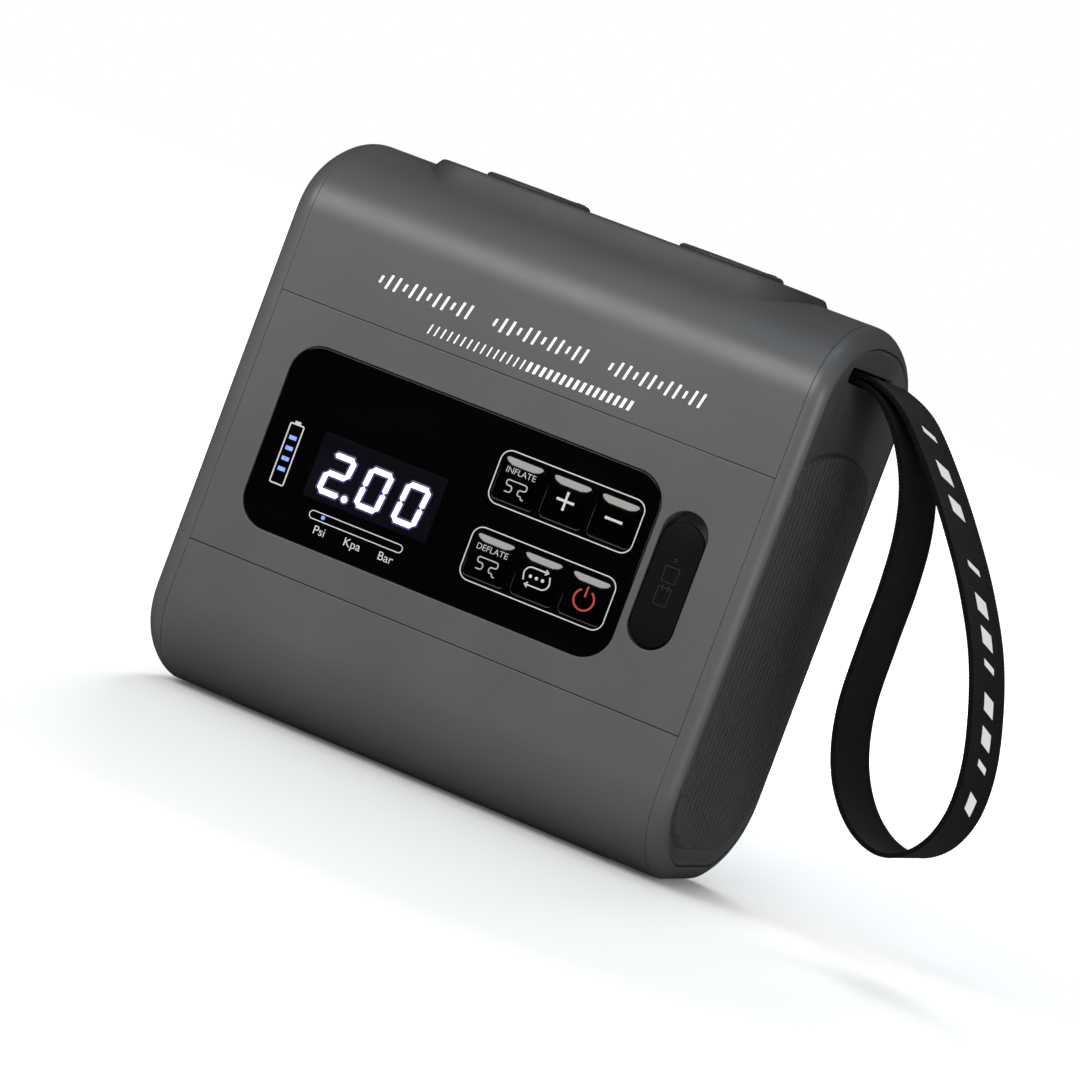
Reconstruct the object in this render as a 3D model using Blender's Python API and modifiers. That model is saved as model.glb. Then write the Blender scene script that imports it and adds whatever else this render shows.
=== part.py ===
"""Battery air mattress pump with a wrist strap.

A box with an arched top and a rolled bottom lies along X.  Its front is at -Y and it stands on a rubber
base pad at Z = 0.  Inside, a vertical centrifugal blower draws air through the right-hand port and sends
it out of the left-hand port.  Lengths are in metres.
"""
import math

import bmesh
import bpy
from mathutils import Vector

MM = 0.001
GAP = 0.3 * MM

# Body profile, seen along X: superelliptic rolls joined by straight front and rear walls.
HALF_DEPTH = 42.0 * MM
HALF_LENGTH = 77.85 * MM
ROLL_POWER = 2.2
TOP_ROLL_Z = 140.0 * MM
TOP_ROLL_RISE = 26.0 * MM
BOTTOM_ROLL_Z = 27.5 * MM
BOTTOM_ROLL_DROP = 28.0 * MM
FLAT_BASE_Z = 0.8 * MM
WALL = 2.4 * MM
UPPER_SEAM_Z = 117.4 * MM
LOWER_SEAM_Z = 42.2 * MM
SIDE_WALL = 2.1 * MM
PAD_SIZE = (130.0 * MM, 22.0 * MM)
PAD_RADIUS = 5.0 * MM
PAD_THICKNESS = 1.5 * MM
SCREW_PLACES = [(sx * 66.0 * MM, z * MM) for sx in (-1, 1) for z in (50.0, 109.5)]

# Ends
END_LIP_X = 83.2 * MM
LIP_INSET_Y = 2.9 * MM
LIP_INSET_Z = 5.3 * MM
END_FLOOR_X = 80.5 * MM
END_BACK_X = 79.1 * MM
INSERT_HALF_WIDTH = 33.0 * MM
INSERT_LOW_Z = 11.0 * MM
INSERT_HIGH_Z = 128.8 * MM
SLOT_Z = 151.0 * MM
SLOT_HALF_HEIGHT = 2.3 * MM
SLOT_HALF_WIDTH = 21.5 * MM

# Control panel
PANEL_CENTRE = (-8.5 * MM, 79.3 * MM)
PANEL_SIZE = (117.0 * MM, 54.0 * MM)
PANEL_RADIUS = 9.0 * MM
PANEL_FACE_Y = -41.9 * MM
PANEL_BACK_Y = -39.9 * MM
KEY_COLUMNS = (9.0 * MM, 24.0 * MM, 39.0 * MM)
KEY_ROWS = (90.8 * MM, 68.0 * MM)
KEY_NAMES = (("inflate_key", "plus_key", "minus_key"), ("deflate_key", "mode_key", "power_key"))
KEY_SIZE = (12.5 * MM, 12.0 * MM)
KEY_FACE_Y = -42.9 * MM
KEY_BACK_Y = -40.7 * MM
DISPLAY_CENTRE = (-30.5 * MM, 75.0 * MM)
LED_HALF_SIZE = (18.8 * MM, 9.5 * MM)

# Charging recess, an upright obround right of the panel
CHARGE_X = 59.35 * MM
CHARGE_HALF_WIDTH = 6.85 * MM
CHARGE_LOW_Z = 60.8 * MM
CHARGE_HIGH_Z = 100.7 * MM
FINGER_GAP = 3.1 * MM
SOCKET_FRONT_Y = -38.4 * MM
SOCKET_BACK_Y = -33.3 * MM
USB_Z = 88.0 * MM
JACK_Z = 73.0 * MM

# Ports under the flip caps
PORT_X = 31.0 * MM
PLATFORM_TOP_Z = 168.0 * MM
PLATFORM_HALF_LENGTH = 62.0 * MM
PLATFORM_HALF_DEPTH = 27.5 * MM
COLLAR_OUTER = 13.0 * MM
COLLAR_BORE = 11.0 * MM
COLLAR_LOW_Z = 146.0 * MM
COLLAR_TOP_Z = 167.2 * MM
COLLAR_FLOOR = 0.9 * MM
PORT_HOLE_RADIUS = 14.2 * MM
CAP_RADIUS = 15.7 * MM
CAP_LOW_Z = 168.3 * MM
CAP_HINGE = (17.5 * MM, 168.95 * MM)

# Strap: webbing folded into a loop, both layers entering the end slot
STRAP_HALF_WIDTH = 19.0 * MM
STRAP_THICKNESS = 1.4 * MM
STRAP_LAYER = STRAP_THICKNESS / 2 + 0.15 * MM
STRAP_START_X = 81.2 * MM
PIN_X = 73.0 * MM
PIN_RADIUS = 1.5 * MM

# Battery and blower
CELL_RADIUS = 9.1 * MM
CELL_LOW_Z = 9.0 * MM
CELL_LENGTH = 65.0 * MM
CELL_PLACES = ((-63, -10), (-63, 10), (-43, -10), (-43, 10))
BLOWER_X = 31.0 * MM
MOTOR_LOW_Z = 66.0 * MM
MOTOR_TOP_Z = 110.0 * MM


def clear_scene():
    for obj in list(bpy.data.objects):
        bpy.data.objects.remove(obj, do_unlink=True)


def new_collection(name):
    group = bpy.data.collections.new(name)
    bpy.context.scene.collection.children.link(group)
    return group


def material(name, colour, roughness, metallic=0.0):
    found = bpy.data.materials.get(name)
    if found:
        return found
    made = bpy.data.materials.new(name)
    made.use_nodes = True
    shader = made.node_tree.nodes["Principled BSDF"]
    shader.inputs["Base Color"].default_value = (*colour, 1.0)
    shader.inputs["Roughness"].default_value = roughness
    shader.inputs["Metallic"].default_value = metallic
    return made


def body_plastic():
    return material("body_plastic", (0.105, 0.105, 0.108), 0.45)


def gloss_black():
    return material("gloss_black", (0.008, 0.008, 0.009), 0.12)


def rubber():
    return material("rubber", (0.022, 0.02, 0.02), 0.75)


def inner_plastic():
    return material("inner_plastic", (0.06, 0.06, 0.065), 0.5)


def circuit_board():
    return material("circuit_board", (0.02, 0.12, 0.05), 0.45)


def steel():
    return material("steel", (0.55, 0.55, 0.56), 0.3, 1.0)


def place(name, mesh, finish):
    """Links a mesh as a named object with its finish, smooth except at its edges."""
    mesh.materials.clear()
    mesh.materials.append(finish)
    mesh.shade_smooth()
    mesh.set_sharp_from_angle(angle=math.radians(35))
    obj = bpy.data.objects.new(name, mesh)
    PARTS.objects.link(obj)
    return obj


def to_mesh(bm, name):
    bmesh.ops.recalc_face_normals(bm, faces=bm.faces)
    mesh = bpy.data.meshes.new(name)
    bm.to_mesh(mesh)
    bm.free()
    return mesh


def point_on(axis, along, first, second):
    """A point from its place along one axis and its two other coordinates, in X, Y, Z order."""
    return {"X": (along, first, second), "Y": (first, along, second), "Z": (first, second, along)}[axis]


def prism(name, outline, axis, low, high):
    """A flat closed outline drawn out along an axis from low to high."""
    bm = bmesh.new()
    face = bm.faces.new([bm.verts.new(point_on(axis, low, *p)) for p in outline])
    drawn = bmesh.ops.extrude_face_region(bm, geom=[face])["geom"]
    moved = [v for v in drawn if isinstance(v, bmesh.types.BMVert)]
    bmesh.ops.translate(bm, verts=moved, vec=point_on(axis, high - low, 0.0, 0.0))
    return to_mesh(bm, name)


def loft(name, sections, closed_section_ring=False):
    """Joins loops of equal length in order: end to end with caps, or round into a ring."""
    bm = bmesh.new()
    loops = [[bm.verts.new(p) for p in section] for section in sections]
    pairs = list(zip(loops, loops[1:]))
    if closed_section_ring:
        pairs.append((loops[-1], loops[0]))
    for one, other in pairs:
        count = len(one)
        for i in range(count):
            bm.faces.new((one[i], one[(i + 1) % count], other[(i + 1) % count], other[i]))
    if not closed_section_ring:
        bm.faces.new(loops[0])
        bm.faces.new(reversed(loops[-1]))
    return to_mesh(bm, name)


def box(name, low, high):
    outline = [(low[1], low[2]), (high[1], low[2]), (high[1], high[2]), (low[1], high[2])]
    return prism(name, outline, "X", low[0], high[0])


def circle(cx, cy, radius, steps):
    return [
        (cx + radius * math.cos(2 * math.pi * i / steps), cy + radius * math.sin(2 * math.pi * i / steps))
        for i in range(steps)
    ]


def rounded_rectangle(cx, cy, width, height, radius, steps=5):
    """Corner arcs of a rounded rectangle, anticlockwise from the right."""
    points = []
    for turn, (sx, sy) in enumerate(((1, 1), (-1, 1), (-1, -1), (1, -1))):
        ax, ay = cx + sx * (width / 2 - radius), cy + sy * (height / 2 - radius)
        for i in range(steps + 1):
            angle = math.pi / 2 * (turn + i / steps)
            points.append((ax + radius * math.cos(angle), ay + radius * math.sin(angle)))
    return points


def upright_obround(cx, low, high, radius, steps=8):
    points = []
    for cy, start in ((high - radius, 0.0), (low + radius, math.pi)):
        for i in range(steps + 1):
            angle = start + math.pi * i / steps
            points.append((cx + radius * math.cos(angle), cy + radius * math.sin(angle)))
    return points


def roll(half_depth, height, steps):
    """Half a superellipse from -Y over to +Y, as (y, rise) pairs."""
    points = []
    for i in range(steps + 1):
        angle = math.pi * i / steps
        c, s = math.cos(angle), math.sin(angle)
        y = -math.copysign(abs(c) ** (2 / ROLL_POWER), c) * half_depth
        points.append((y, abs(s) ** (2 / ROLL_POWER) * height))
    return points


def top_roll(inset_y, inset_z, steps=16):
    half, rise = HALF_DEPTH - inset_y, TOP_ROLL_RISE - inset_z
    return [(y, TOP_ROLL_Z + z) for y, z in roll(half, rise, steps)]


def bottom_roll(inset_y, inset_z, steps=14):
    half, drop = HALF_DEPTH - inset_y, BOTTOM_ROLL_DROP - inset_z
    flat = FLAT_BASE_Z + inset_z
    return [(-y, max(BOTTOM_ROLL_Z - z, flat)) for y, z in roll(half, drop, steps)]


def body_outline(inset_y, inset_z):
    """The whole profile, clockwise seen from +X: over the top to the rear, then under to the front."""
    return top_roll(inset_y, inset_z) + bottom_roll(inset_y, inset_z)


def turned(name, profile, centre, finish, steps=24):
    """Turns a profile of (radius, height) about a vertical axis; it starts and ends on the axis if solid."""
    solid = profile[0][0] == 0.0
    bm = bmesh.new()
    verts = [bm.verts.new((r, 0.0, z)) for r, z in profile]
    ring = list(zip(verts, verts[1:]))
    if not solid:
        ring.append((verts[-1], verts[0]))
    for pair in ring:
        bm.edges.new(pair)
    mesh = bpy.data.meshes.new(name)
    bm.to_mesh(mesh)
    bm.free()
    mesh.materials.append(finish)
    obj = bpy.data.objects.new(name, mesh)
    PARTS.objects.link(obj)
    obj.location = centre
    screw = obj.modifiers.new("turn", "SCREW")
    screw.steps = screw.render_steps = steps
    screw.use_merge_vertices = True
    screw.merge_threshold = 0.00001
    return obj


def hollow(outer, bore, low, high):
    """The profile of a plain tube, down its outside and up its bore."""
    return [(outer, high), (outer, low), (bore, low), (bore, high)]


def cut(obj, cutter_mesh, join=False):
    """Cuts the shape out of the object, or joins it on."""
    cutter_mesh.materials.clear()
    cutter_mesh.materials.append(obj.data.materials[0])
    cutter = bpy.data.objects.new(f"{obj.name}_{'boss' if join else 'cut'}", cutter_mesh)
    CUTTERS.objects.link(cutter)
    cutter.hide_render = True
    cutter.display_type = "WIRE"
    boolean = obj.modifiers.new("join" if join else "cut", "BOOLEAN")
    boolean.operation = "UNION" if join else "DIFFERENCE"
    boolean.solver = "EXACT"
    boolean.object = cutter
    return obj


def cylinder(name, axis, centre, radius, low, high, steps=24):
    return prism(name, circle(centre[0], centre[1], radius, steps), axis, low, high)


def smooth_path(points, per_span):
    """A Catmull-Rom curve through the points, with per_span steps between neighbours."""
    knots = [Vector(p) for p in points]
    knots = [2 * knots[0] - knots[1], *knots, 2 * knots[-1] - knots[-2]]
    path = []
    for a, b, c, d in zip(knots, knots[1:], knots[2:], knots[3:]):
        for i in range(per_span):
            t = i / per_span
            square, cube = 2 * a - 5 * b + 4 * c - d, 3 * b - a - 3 * c + d
            path.append(0.5 * (2 * b + (c - a) * t + square * t**2 + cube * t**3))
    return [*path, knots[-2]]


def tube_mesh(name, points, radius, resolution=1):
    """A round rod along the points, as a closed mesh."""
    data = bpy.data.curves.new(name, "CURVE")
    data.dimensions = "3D"
    data.bevel_depth = radius
    data.bevel_resolution = resolution
    data.use_fill_caps = True
    spline = data.splines.new("POLY")
    spline.points.add(len(points) - 1)
    for knot, p in zip(spline.points, points):
        knot.co = (*p, 1.0)
    guide = bpy.data.objects.new(name, data)
    bpy.context.scene.collection.objects.link(guide)
    bpy.context.view_layer.update()
    evaluated = guide.evaluated_get(bpy.context.evaluated_depsgraph_get())
    mesh = bpy.data.meshes.new_from_object(evaluated)
    bpy.data.objects.remove(guide, do_unlink=True)
    bm = bmesh.new()
    bm.from_mesh(mesh)
    bmesh.ops.remove_doubles(bm, verts=bm.verts, dist=0.00001)
    return to_mesh(bm, name)


def shell_strip(name, outer, inner, finish):
    """A bent wall between an outer and an inner line, along the body's length."""
    return place(name, prism(name, outer + inner[::-1], "X", -HALF_LENGTH, HALF_LENGTH), finish)


def build_shells():
    edge = GAP / 2
    high, low = UPPER_SEAM_Z + edge, LOWER_SEAM_Z - edge
    inner = HALF_DEPTH - WALL
    top = shell_strip(
        "top_shell",
        [(-HALF_DEPTH, high), *top_roll(0, 0), (HALF_DEPTH, high)],
        [(-inner, high), *top_roll(WALL, WALL), (inner, high)],
        body_plastic(),
    )
    for side in (-1, 1):
        cut(top, cylinder("port_hole", "Z", (side * PORT_X, 0), PORT_HOLE_RADIUS, 150 * MM, 180 * MM))
    bottom = shell_strip(
        "bottom_shell",
        [(HALF_DEPTH, low), *bottom_roll(0, 0), (-HALF_DEPTH, low)],
        [(inner, low), *bottom_roll(WALL, WALL), (-inner, low)],
        body_plastic(),
    )
    recess = rounded_rectangle(0, 0, PAD_SIZE[0] + 2 * GAP, PAD_SIZE[1] + 2 * GAP, PAD_RADIUS + GAP)
    cut(bottom, prism("pad_recess", recess, "Z", -2 * MM, PAD_THICKNESS + GAP))
    pad = rounded_rectangle(0, 0, *PAD_SIZE, PAD_RADIUS)
    place("base_pad", prism("base_pad", pad, "Z", 0, PAD_THICKNESS), rubber())

    low, high = LOWER_SEAM_Z + edge, UPPER_SEAM_Z - edge
    front = place(
        "front_panel",
        box("front_panel", (-HALF_LENGTH, -HALF_DEPTH, low), (HALF_LENGTH, -HALF_DEPTH + SIDE_WALL, high)),
        body_plastic(),
    )
    opening = rounded_rectangle(
        *PANEL_CENTRE, PANEL_SIZE[0] + 2 * GAP, PANEL_SIZE[1] + 2 * GAP, PANEL_RADIUS + GAP
    )
    cut(front, prism("panel_opening", opening, "Y", -50 * MM, -35 * MM))
    obround = upright_obround(CHARGE_X, CHARGE_LOW_Z, CHARGE_HIGH_Z, CHARGE_HALF_WIDTH)
    cut(front, prism("charge_opening", obround, "Y", -50 * MM, -35 * MM))

    rear = place(
        "rear_panel",
        box("rear_panel", (-HALF_LENGTH, HALF_DEPTH - SIDE_WALL, low), (HALF_LENGTH, HALF_DEPTH, high)),
        body_plastic(),
    )
    for x, z in SCREW_PLACES:
        cut(rear, cylinder("screw_seat", "Y", (x, z), 3.0 * MM, 40.6 * MM, 50 * MM, 16))
        cut(rear, cylinder("screw_hole", "Y", (x, z), 1.7 * MM, 30 * MM, 50 * MM, 12))


def build_frame_and_screws():
    """An inner frame behind the rear panel, which the case screws pull on."""
    frame_mesh = box("mid_frame", (-72 * MM, 33 * MM, 44 * MM), (72 * MM, 35 * MM, 115 * MM))
    frame = place("mid_frame", frame_mesh, inner_plastic())
    cut(frame, box("frame_window", (-56 * MM, 30 * MM, 56 * MM), (56 * MM, 38 * MM, 103 * MM)))
    for x, z in SCREW_PLACES:
        cut(frame, cylinder("screw_boss", "Y", (x, z), 3.4 * MM, 34 * MM, 39.5 * MM, 16), join=True)
        cut(frame, cylinder("pilot_hole", "Y", (x, z), 1.5 * MM, 30 * MM, 45 * MM, 12))
    head, shank = 2.6 * MM, 1.25 * MM
    for number, (x, z) in enumerate(SCREW_PLACES, 1):
        profile = [
            (0, 0), (head * 0.8, 0), (head, -0.4 * MM), (head, -1.0 * MM), (shank, -1.0 * MM),
            (shank, -9 * MM), (0, -9 * MM),
        ]
        screw = turned(f"case_screw_{number}", profile, (x, 41.9 * MM, z), steel(), steps=12)
        screw.rotation_euler = (-math.pi / 2, 0, 0)


def build_end(side, label):
    """Rim ring, dished end panel and fluted insert at one end; side is -1 or +1."""

    def ring_outline(x, inset_y, inset_z):
        return [(side * x * MM, y, z) for y, z in body_outline(inset_y * MM, inset_z * MM)]

    lip_x, lip_y, lip_z = END_LIP_X / MM, LIP_INSET_Y / MM, LIP_INSET_Z / MM
    section = [
        (78.15, 0, 0), (80.2, 0.3, 0.7), (82.0, 1.1, 2.3), (lip_x, lip_y - 0.5, lip_z - 0.5),
        (lip_x, lip_y, lip_z), (78.8, lip_y, lip_z), (78.8, 6.0, 8.4), (77.6, 6.0, 8.4),
        (77.6, 4.6, 4.6), (74.5, 4.6, 4.6), (74.5, 2.8, 2.8), (78.15, 2.8, 2.8),
    ]
    sections = [ring_outline(*s) for s in section]
    place(f"end_frame_{label}", loft("end_frame", sections, closed_section_ring=True), body_plastic())

    floor, back = END_FLOOR_X / MM, END_BACK_X / MM
    lip_y, lip_z = lip_y + 0.3, lip_z + 0.3
    panel = place(
        f"end_panel_{label}",
        loft("end_panel", [
            ring_outline(back, lip_y, lip_z),
            ring_outline(lip_x - 0.2, lip_y, lip_z),
            ring_outline(lip_x - 0.2, lip_y + 1.0, lip_z + 1.0),
            ring_outline(floor, lip_y + 4.4, lip_z + 3.4),
        ]),
        body_plastic(),
    )
    if side > 0:
        cut(panel, box("strap_slot", (70 * MM, -SLOT_HALF_WIDTH, SLOT_Z - SLOT_HALF_HEIGHT),
                       (90 * MM, SLOT_HALF_WIDTH, SLOT_Z + SLOT_HALF_HEIGHT)))
    middle = (INSERT_LOW_Z + INSERT_HIGH_Z) / 2
    outline = rounded_rectangle(0, middle, 2 * INSERT_HALF_WIDTH, INSERT_HIGH_Z - INSERT_LOW_Z, 18 * MM)
    low, high = sorted((side * (END_FLOOR_X + GAP), side * (END_FLOOR_X + 1.7 * MM)))
    place(f"fluted_insert_{label}", prism("fluted_insert", outline, "X", low, high), gloss_insert())


def gloss_insert():
    return material("insert_plastic", (0.07, 0.068, 0.068), 0.3)


def platform_outline(half_length, half_depth, steps=40):
    """Straight front and rear edges that sweep back to rounded tips."""
    points = []
    for i in range(steps):
        angle = 2 * math.pi * i / steps
        c, s = math.cos(angle), math.sin(angle)
        reach = 44 * MM + (half_length - 44 * MM) * abs(c) ** 0.9 if abs(c) > 0.02 else 0.0
        points.append((math.copysign(reach, c), math.copysign(abs(s) ** 0.9, s) * half_depth))
    return points


def build_platform():
    heights = [
        (150 * MM, PLATFORM_HALF_LENGTH, PLATFORM_HALF_DEPTH),
        (PLATFORM_TOP_Z - 0.8 * MM, PLATFORM_HALF_LENGTH - 3 * MM, PLATFORM_HALF_DEPTH - 2.6 * MM),
        (PLATFORM_TOP_Z, PLATFORM_HALF_LENGTH - 4 * MM, PLATFORM_HALF_DEPTH - 3.6 * MM),
    ]
    sections = [[(x, y, z) for x, y in platform_outline(length, depth)] for z, length, depth in heights]
    platform = place("port_platform", loft("port_platform", sections), body_plastic())
    cut(platform, prism("roll_clearance", body_outline(-GAP, -GAP), "X", -80 * MM, 80 * MM))
    hinge_y, hinge_z = CAP_HINGE
    for side in (-1, 1):
        cut(platform, cylinder("port_bore", "Z", (side * PORT_X, 0), COLLAR_OUTER + GAP, 150 * MM, 180 * MM))
        for ear in (-1, 1):
            x = side * PORT_X + ear * 7.0 * MM
            low = (x - 1.2 * MM, hinge_y - 1.2 * MM, PLATFORM_TOP_Z - 1 * MM)
            high = (x + 1.2 * MM, hinge_y + 1.3 * MM, hinge_z + 0.9 * MM)
            cut(platform, box("hinge_ear", low, high), join=True)


def build_ports():
    for side, label in ((-1, "inflate"), (1, "deflate")):
        x = side * PORT_X
        lip = 7.4 * MM if side < 0 else 9.0 * MM
        profile = [
            (COLLAR_OUTER, COLLAR_TOP_Z), (COLLAR_OUTER, COLLAR_LOW_Z), (lip, COLLAR_LOW_Z),
            (lip, COLLAR_LOW_Z + COLLAR_FLOOR), (COLLAR_BORE, COLLAR_LOW_Z + COLLAR_FLOOR),
            (COLLAR_BORE, COLLAR_TOP_Z),
        ]
        turned(f"{label}_port_collar", profile, (x, 0, 0), inner_plastic())
        seal = hollow(12.8 * MM, 11.3 * MM, COLLAR_TOP_Z + 0.2 * MM, COLLAR_TOP_Z + 0.9 * MM)
        turned(f"{label}_seal_ring", seal, (x, 0, 0), rubber())
        build_cap(x, label)
    profile = [(0, 148.4 * MM), (10.7 * MM, 148.4 * MM), (10.7 * MM, 147.2 * MM), (0, 147.2 * MM)]
    screen = turned("intake_screen", profile, (PORT_X, 0, 0), inner_plastic())
    for i in range(6):
        angle = math.pi / 3 * i
        hole = cylinder("screen_hole", "Z", (6.2 * MM * math.cos(angle), 6.2 * MM * math.sin(angle)),
                        2.5 * MM, 146 * MM, 150 * MM, 12)
        cutter = cut(screen, hole).modifiers[-1].object
        cutter.location = (PORT_X, 0, 0)


def build_cap(x, label):
    """A flip cap with a plug skirt, and a hinge tab at its rear that carries its own stub pins."""
    low, edge = CAP_LOW_Z, CAP_RADIUS
    profile = [
        (0, low + 1.2 * MM), (edge - 1.2 * MM, low + 1.2 * MM), (edge - 0.3 * MM, low + 0.9 * MM),
        (edge, low + 0.3 * MM), (edge, low), (10.5 * MM, low), (10.4 * MM, low - 3.2 * MM),
        (9.4 * MM, low - 3.2 * MM), (9.4 * MM, low), (0, low),
    ]
    hinge_y, hinge_z = CAP_HINGE
    moved = [(r, z - hinge_z) for r, z in profile]
    cap = turned(f"{label}_cap", moved, (x, 0, hinge_z), body_plastic())
    tab = box("hinge_tab", (-5.4 * MM, 14 * MM, low - hinge_z), (5.4 * MM, hinge_y + 0.4 * MM, 0.55 * MM))
    cut(cap, tab, join=True)
    cap.modifiers[-1].object.location = (x, 0, hinge_z)


def build_panel():
    lens = place(
        "control_lens",
        prism("control_lens", rounded_rectangle(*PANEL_CENTRE, *PANEL_SIZE, PANEL_RADIUS), "Y",
              PANEL_FACE_Y, PANEL_BACK_Y),
        gloss_black(),
    )
    carrier_outline = rounded_rectangle(*PANEL_CENTRE, PANEL_SIZE[0] - 0.6 * MM, PANEL_SIZE[1] - 0.6 * MM,
                                        PANEL_RADIUS - 0.3 * MM)
    carrier_mesh = prism("lens_carrier", carrier_outline, "Y", -39.5 * MM, -38.3 * MM)
    carrier = place("lens_carrier", carrier_mesh, inner_plastic())
    window = rounded_rectangle(*DISPLAY_CENTRE, 38.6 * MM, 20 * MM, 0.8 * MM, 2)
    cut(carrier, prism("display_window", window, "Y", -45 * MM, -30 * MM))
    for row, names in zip(KEY_ROWS, KEY_NAMES):
        for column, name in zip(KEY_COLUMNS, names):
            hole = rounded_rectangle(column, row, KEY_SIZE[0] + 2 * GAP, KEY_SIZE[1] + 2 * GAP, 1.5 * MM, 2)
            cut(lens, prism("key_hole", hole, "Y", -45 * MM, -39 * MM))
            cut(carrier, cylinder("stem_hole", "Y", (column, row), 2.5 * MM, -45 * MM, -30 * MM, 12))
            build_key(name, column, row)
    led_x, led_z = DISPLAY_CENTRE
    half_x, half_z = LED_HALF_SIZE
    low = (led_x - half_x, -39.3 * MM, led_z - half_z)
    high = (led_x + half_x, -33.0 * MM, led_z + half_z)
    place("led_display", box("led_display", low, high), inner_plastic())
    board = box("display_pcb", (-62 * MM, -32.7 * MM, 56 * MM), (48 * MM, -31.1 * MM, 103 * MM))
    place("display_pcb", board, circuit_board())
    sheet = box("key_dome_mat", (1 * MM, -34.2 * MM, 59 * MM), (47 * MM, -33.0 * MM, 99 * MM))
    mat = place("key_dome_mat", sheet, rubber())
    for row in KEY_ROWS:
        for column in KEY_COLUMNS:
            cut(mat, cylinder("dome", "Y", (column, row), 3.2 * MM, -35.4 * MM, -34 * MM, 12), join=True)


def build_key(name, column, row):
    """A bevelled cap in the lens, with a stem that reaches its dome; it travels 0.8 mm along +Y."""
    outline = rounded_rectangle(column, row, *KEY_SIZE, 1.2 * MM, 2)
    small = rounded_rectangle(column, row, KEY_SIZE[0] - 1.4 * MM, KEY_SIZE[1] - 1.4 * MM, 0.9 * MM, 2)
    key = place(
        name,
        loft(name, [[(x, y, z) for x, z in line] for y, line in
                    ((KEY_BACK_Y, outline), (KEY_FACE_Y + 0.7 * MM, outline), (KEY_FACE_Y, small))]),
        gloss_black(),
    )
    cut(key, cylinder("stem", "Y", (column, row), 1.9 * MM, -41.2 * MM, -36.5 * MM, 12), join=True)


def build_charging():
    """A pocket behind the front panel with a USB-C socket and a DC jack, under a rubber flap."""
    rim = 1.5 * MM
    outer = upright_obround(CHARGE_X, CHARGE_LOW_Z - rim, CHARGE_HIGH_Z + rim, CHARGE_HALF_WIDTH + rim)
    cavity = upright_obround(CHARGE_X, CHARGE_LOW_Z, CHARGE_HIGH_Z, CHARGE_HALF_WIDTH)
    shell = prism("charging_pocket", outer, "Y", -39.6 * MM, -31.5 * MM)
    pocket = place("charging_pocket", shell, body_plastic())
    cut(pocket, prism("pocket_cavity", cavity, "Y", -45 * MM, -33 * MM))
    front, back = SOCKET_FRONT_Y, SOCKET_BACK_Y
    usb = rounded_rectangle(CHARGE_X, USB_Z, 3.6 * MM, 9.4 * MM, 1.7 * MM, 4)
    socket = place("usb_c_socket", prism("usb_c_socket", usb, "Y", front, back), steel())
    mouth = rounded_rectangle(CHARGE_X, USB_Z, 2.8 * MM, 8.6 * MM, 1.3 * MM, 4)
    cut(socket, prism("usb_mouth", mouth, "Y", front - 0.6 * MM, back - 0.7 * MM))
    jack = place("dc_jack", cylinder("dc_jack", "Y", (CHARGE_X, JACK_Z), 4.6 * MM, front, back), gloss_black())
    cut(jack, cylinder("jack_bore", "Y", (CHARGE_X, JACK_Z), 2.8 * MM, front - 0.6 * MM, back - 0.7 * MM, 20))
    low, high = CHARGE_LOW_Z + 0.6 * MM, CHARGE_HIGH_Z - FINGER_GAP
    flap = upright_obround(CHARGE_X, low, high, CHARGE_HALF_WIDTH - GAP)
    place("charging_flap", prism("charging_flap", flap, "Y", -41.5 * MM, -40.0 * MM), rubber())


def build_battery():
    """Four upright cells held by a tray below and a matching one above."""
    for name, low, high in (("battery_tray", 6.0, 16.0), ("battery_clamp", 66.0, 77.0)):
        block = box(name, (-73.8 * MM, -20.5 * MM, low * MM), (-32 * MM, 20.5 * MM, high * MM))
        tray = place(name, block, inner_plastic())
        for x, y in CELL_PLACES:
            pocket = cylinder("cell_pocket", "Z", (x * MM, y * MM), CELL_RADIUS + GAP, 8.7 * MM, 74.3 * MM, 20)
            cut(tray, pocket)
    for number, (x, y) in enumerate(CELL_PLACES, 1):
        low, high = CELL_LOW_Z, CELL_LOW_Z + CELL_LENGTH
        profile = [(0, high), (3 * MM, high), (3 * MM, high - 1 * MM), (CELL_RADIUS, high - 1 * MM),
                   (CELL_RADIUS, low), (0, low)]
        turned(f"battery_cell_{number}", profile, (x * MM, y * MM, 0),
               material("cell_wrap", (0.05, 0.16, 0.42), 0.35), steps=20)


def build_electronics():
    """The main board behind the blower, and the pressure sensor with its tube."""
    sheet = box("main_pcb", (-25 * MM, 27 * MM, 50 * MM), (55 * MM, 28.6 * MM, 100 * MM))
    board = place("main_pcb", sheet, circuit_board())
    for x in (-21, 51):
        for z in (54, 96):
            cut(board, cylinder("board_hole", "Y", (x * MM, z * MM), 1.6 * MM, 20 * MM, 35 * MM, 12))
    body = box("pressure_sensor", (-18 * MM, 22 * MM, 88 * MM), (-8 * MM, 26.7 * MM, 96 * MM))
    sensor = place("pressure_sensor", body, gloss_black())
    cut(sensor, cylinder("nozzle", "Z", (-13 * MM, 24 * MM), 1.2 * MM, 95 * MM, 100 * MM, 12), join=True)
    hose = smooth_path([(-13, 24, 100.4), (-13, 24.2, 105), (-13.5, 26, 111), (-14, 27.6, 116),
                        (-15, 28, 121)], 3)
    place("sensor_tube", tube_mesh("sensor_tube", [p * MM for p in hose], 1.6 * MM), rubber())


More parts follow.
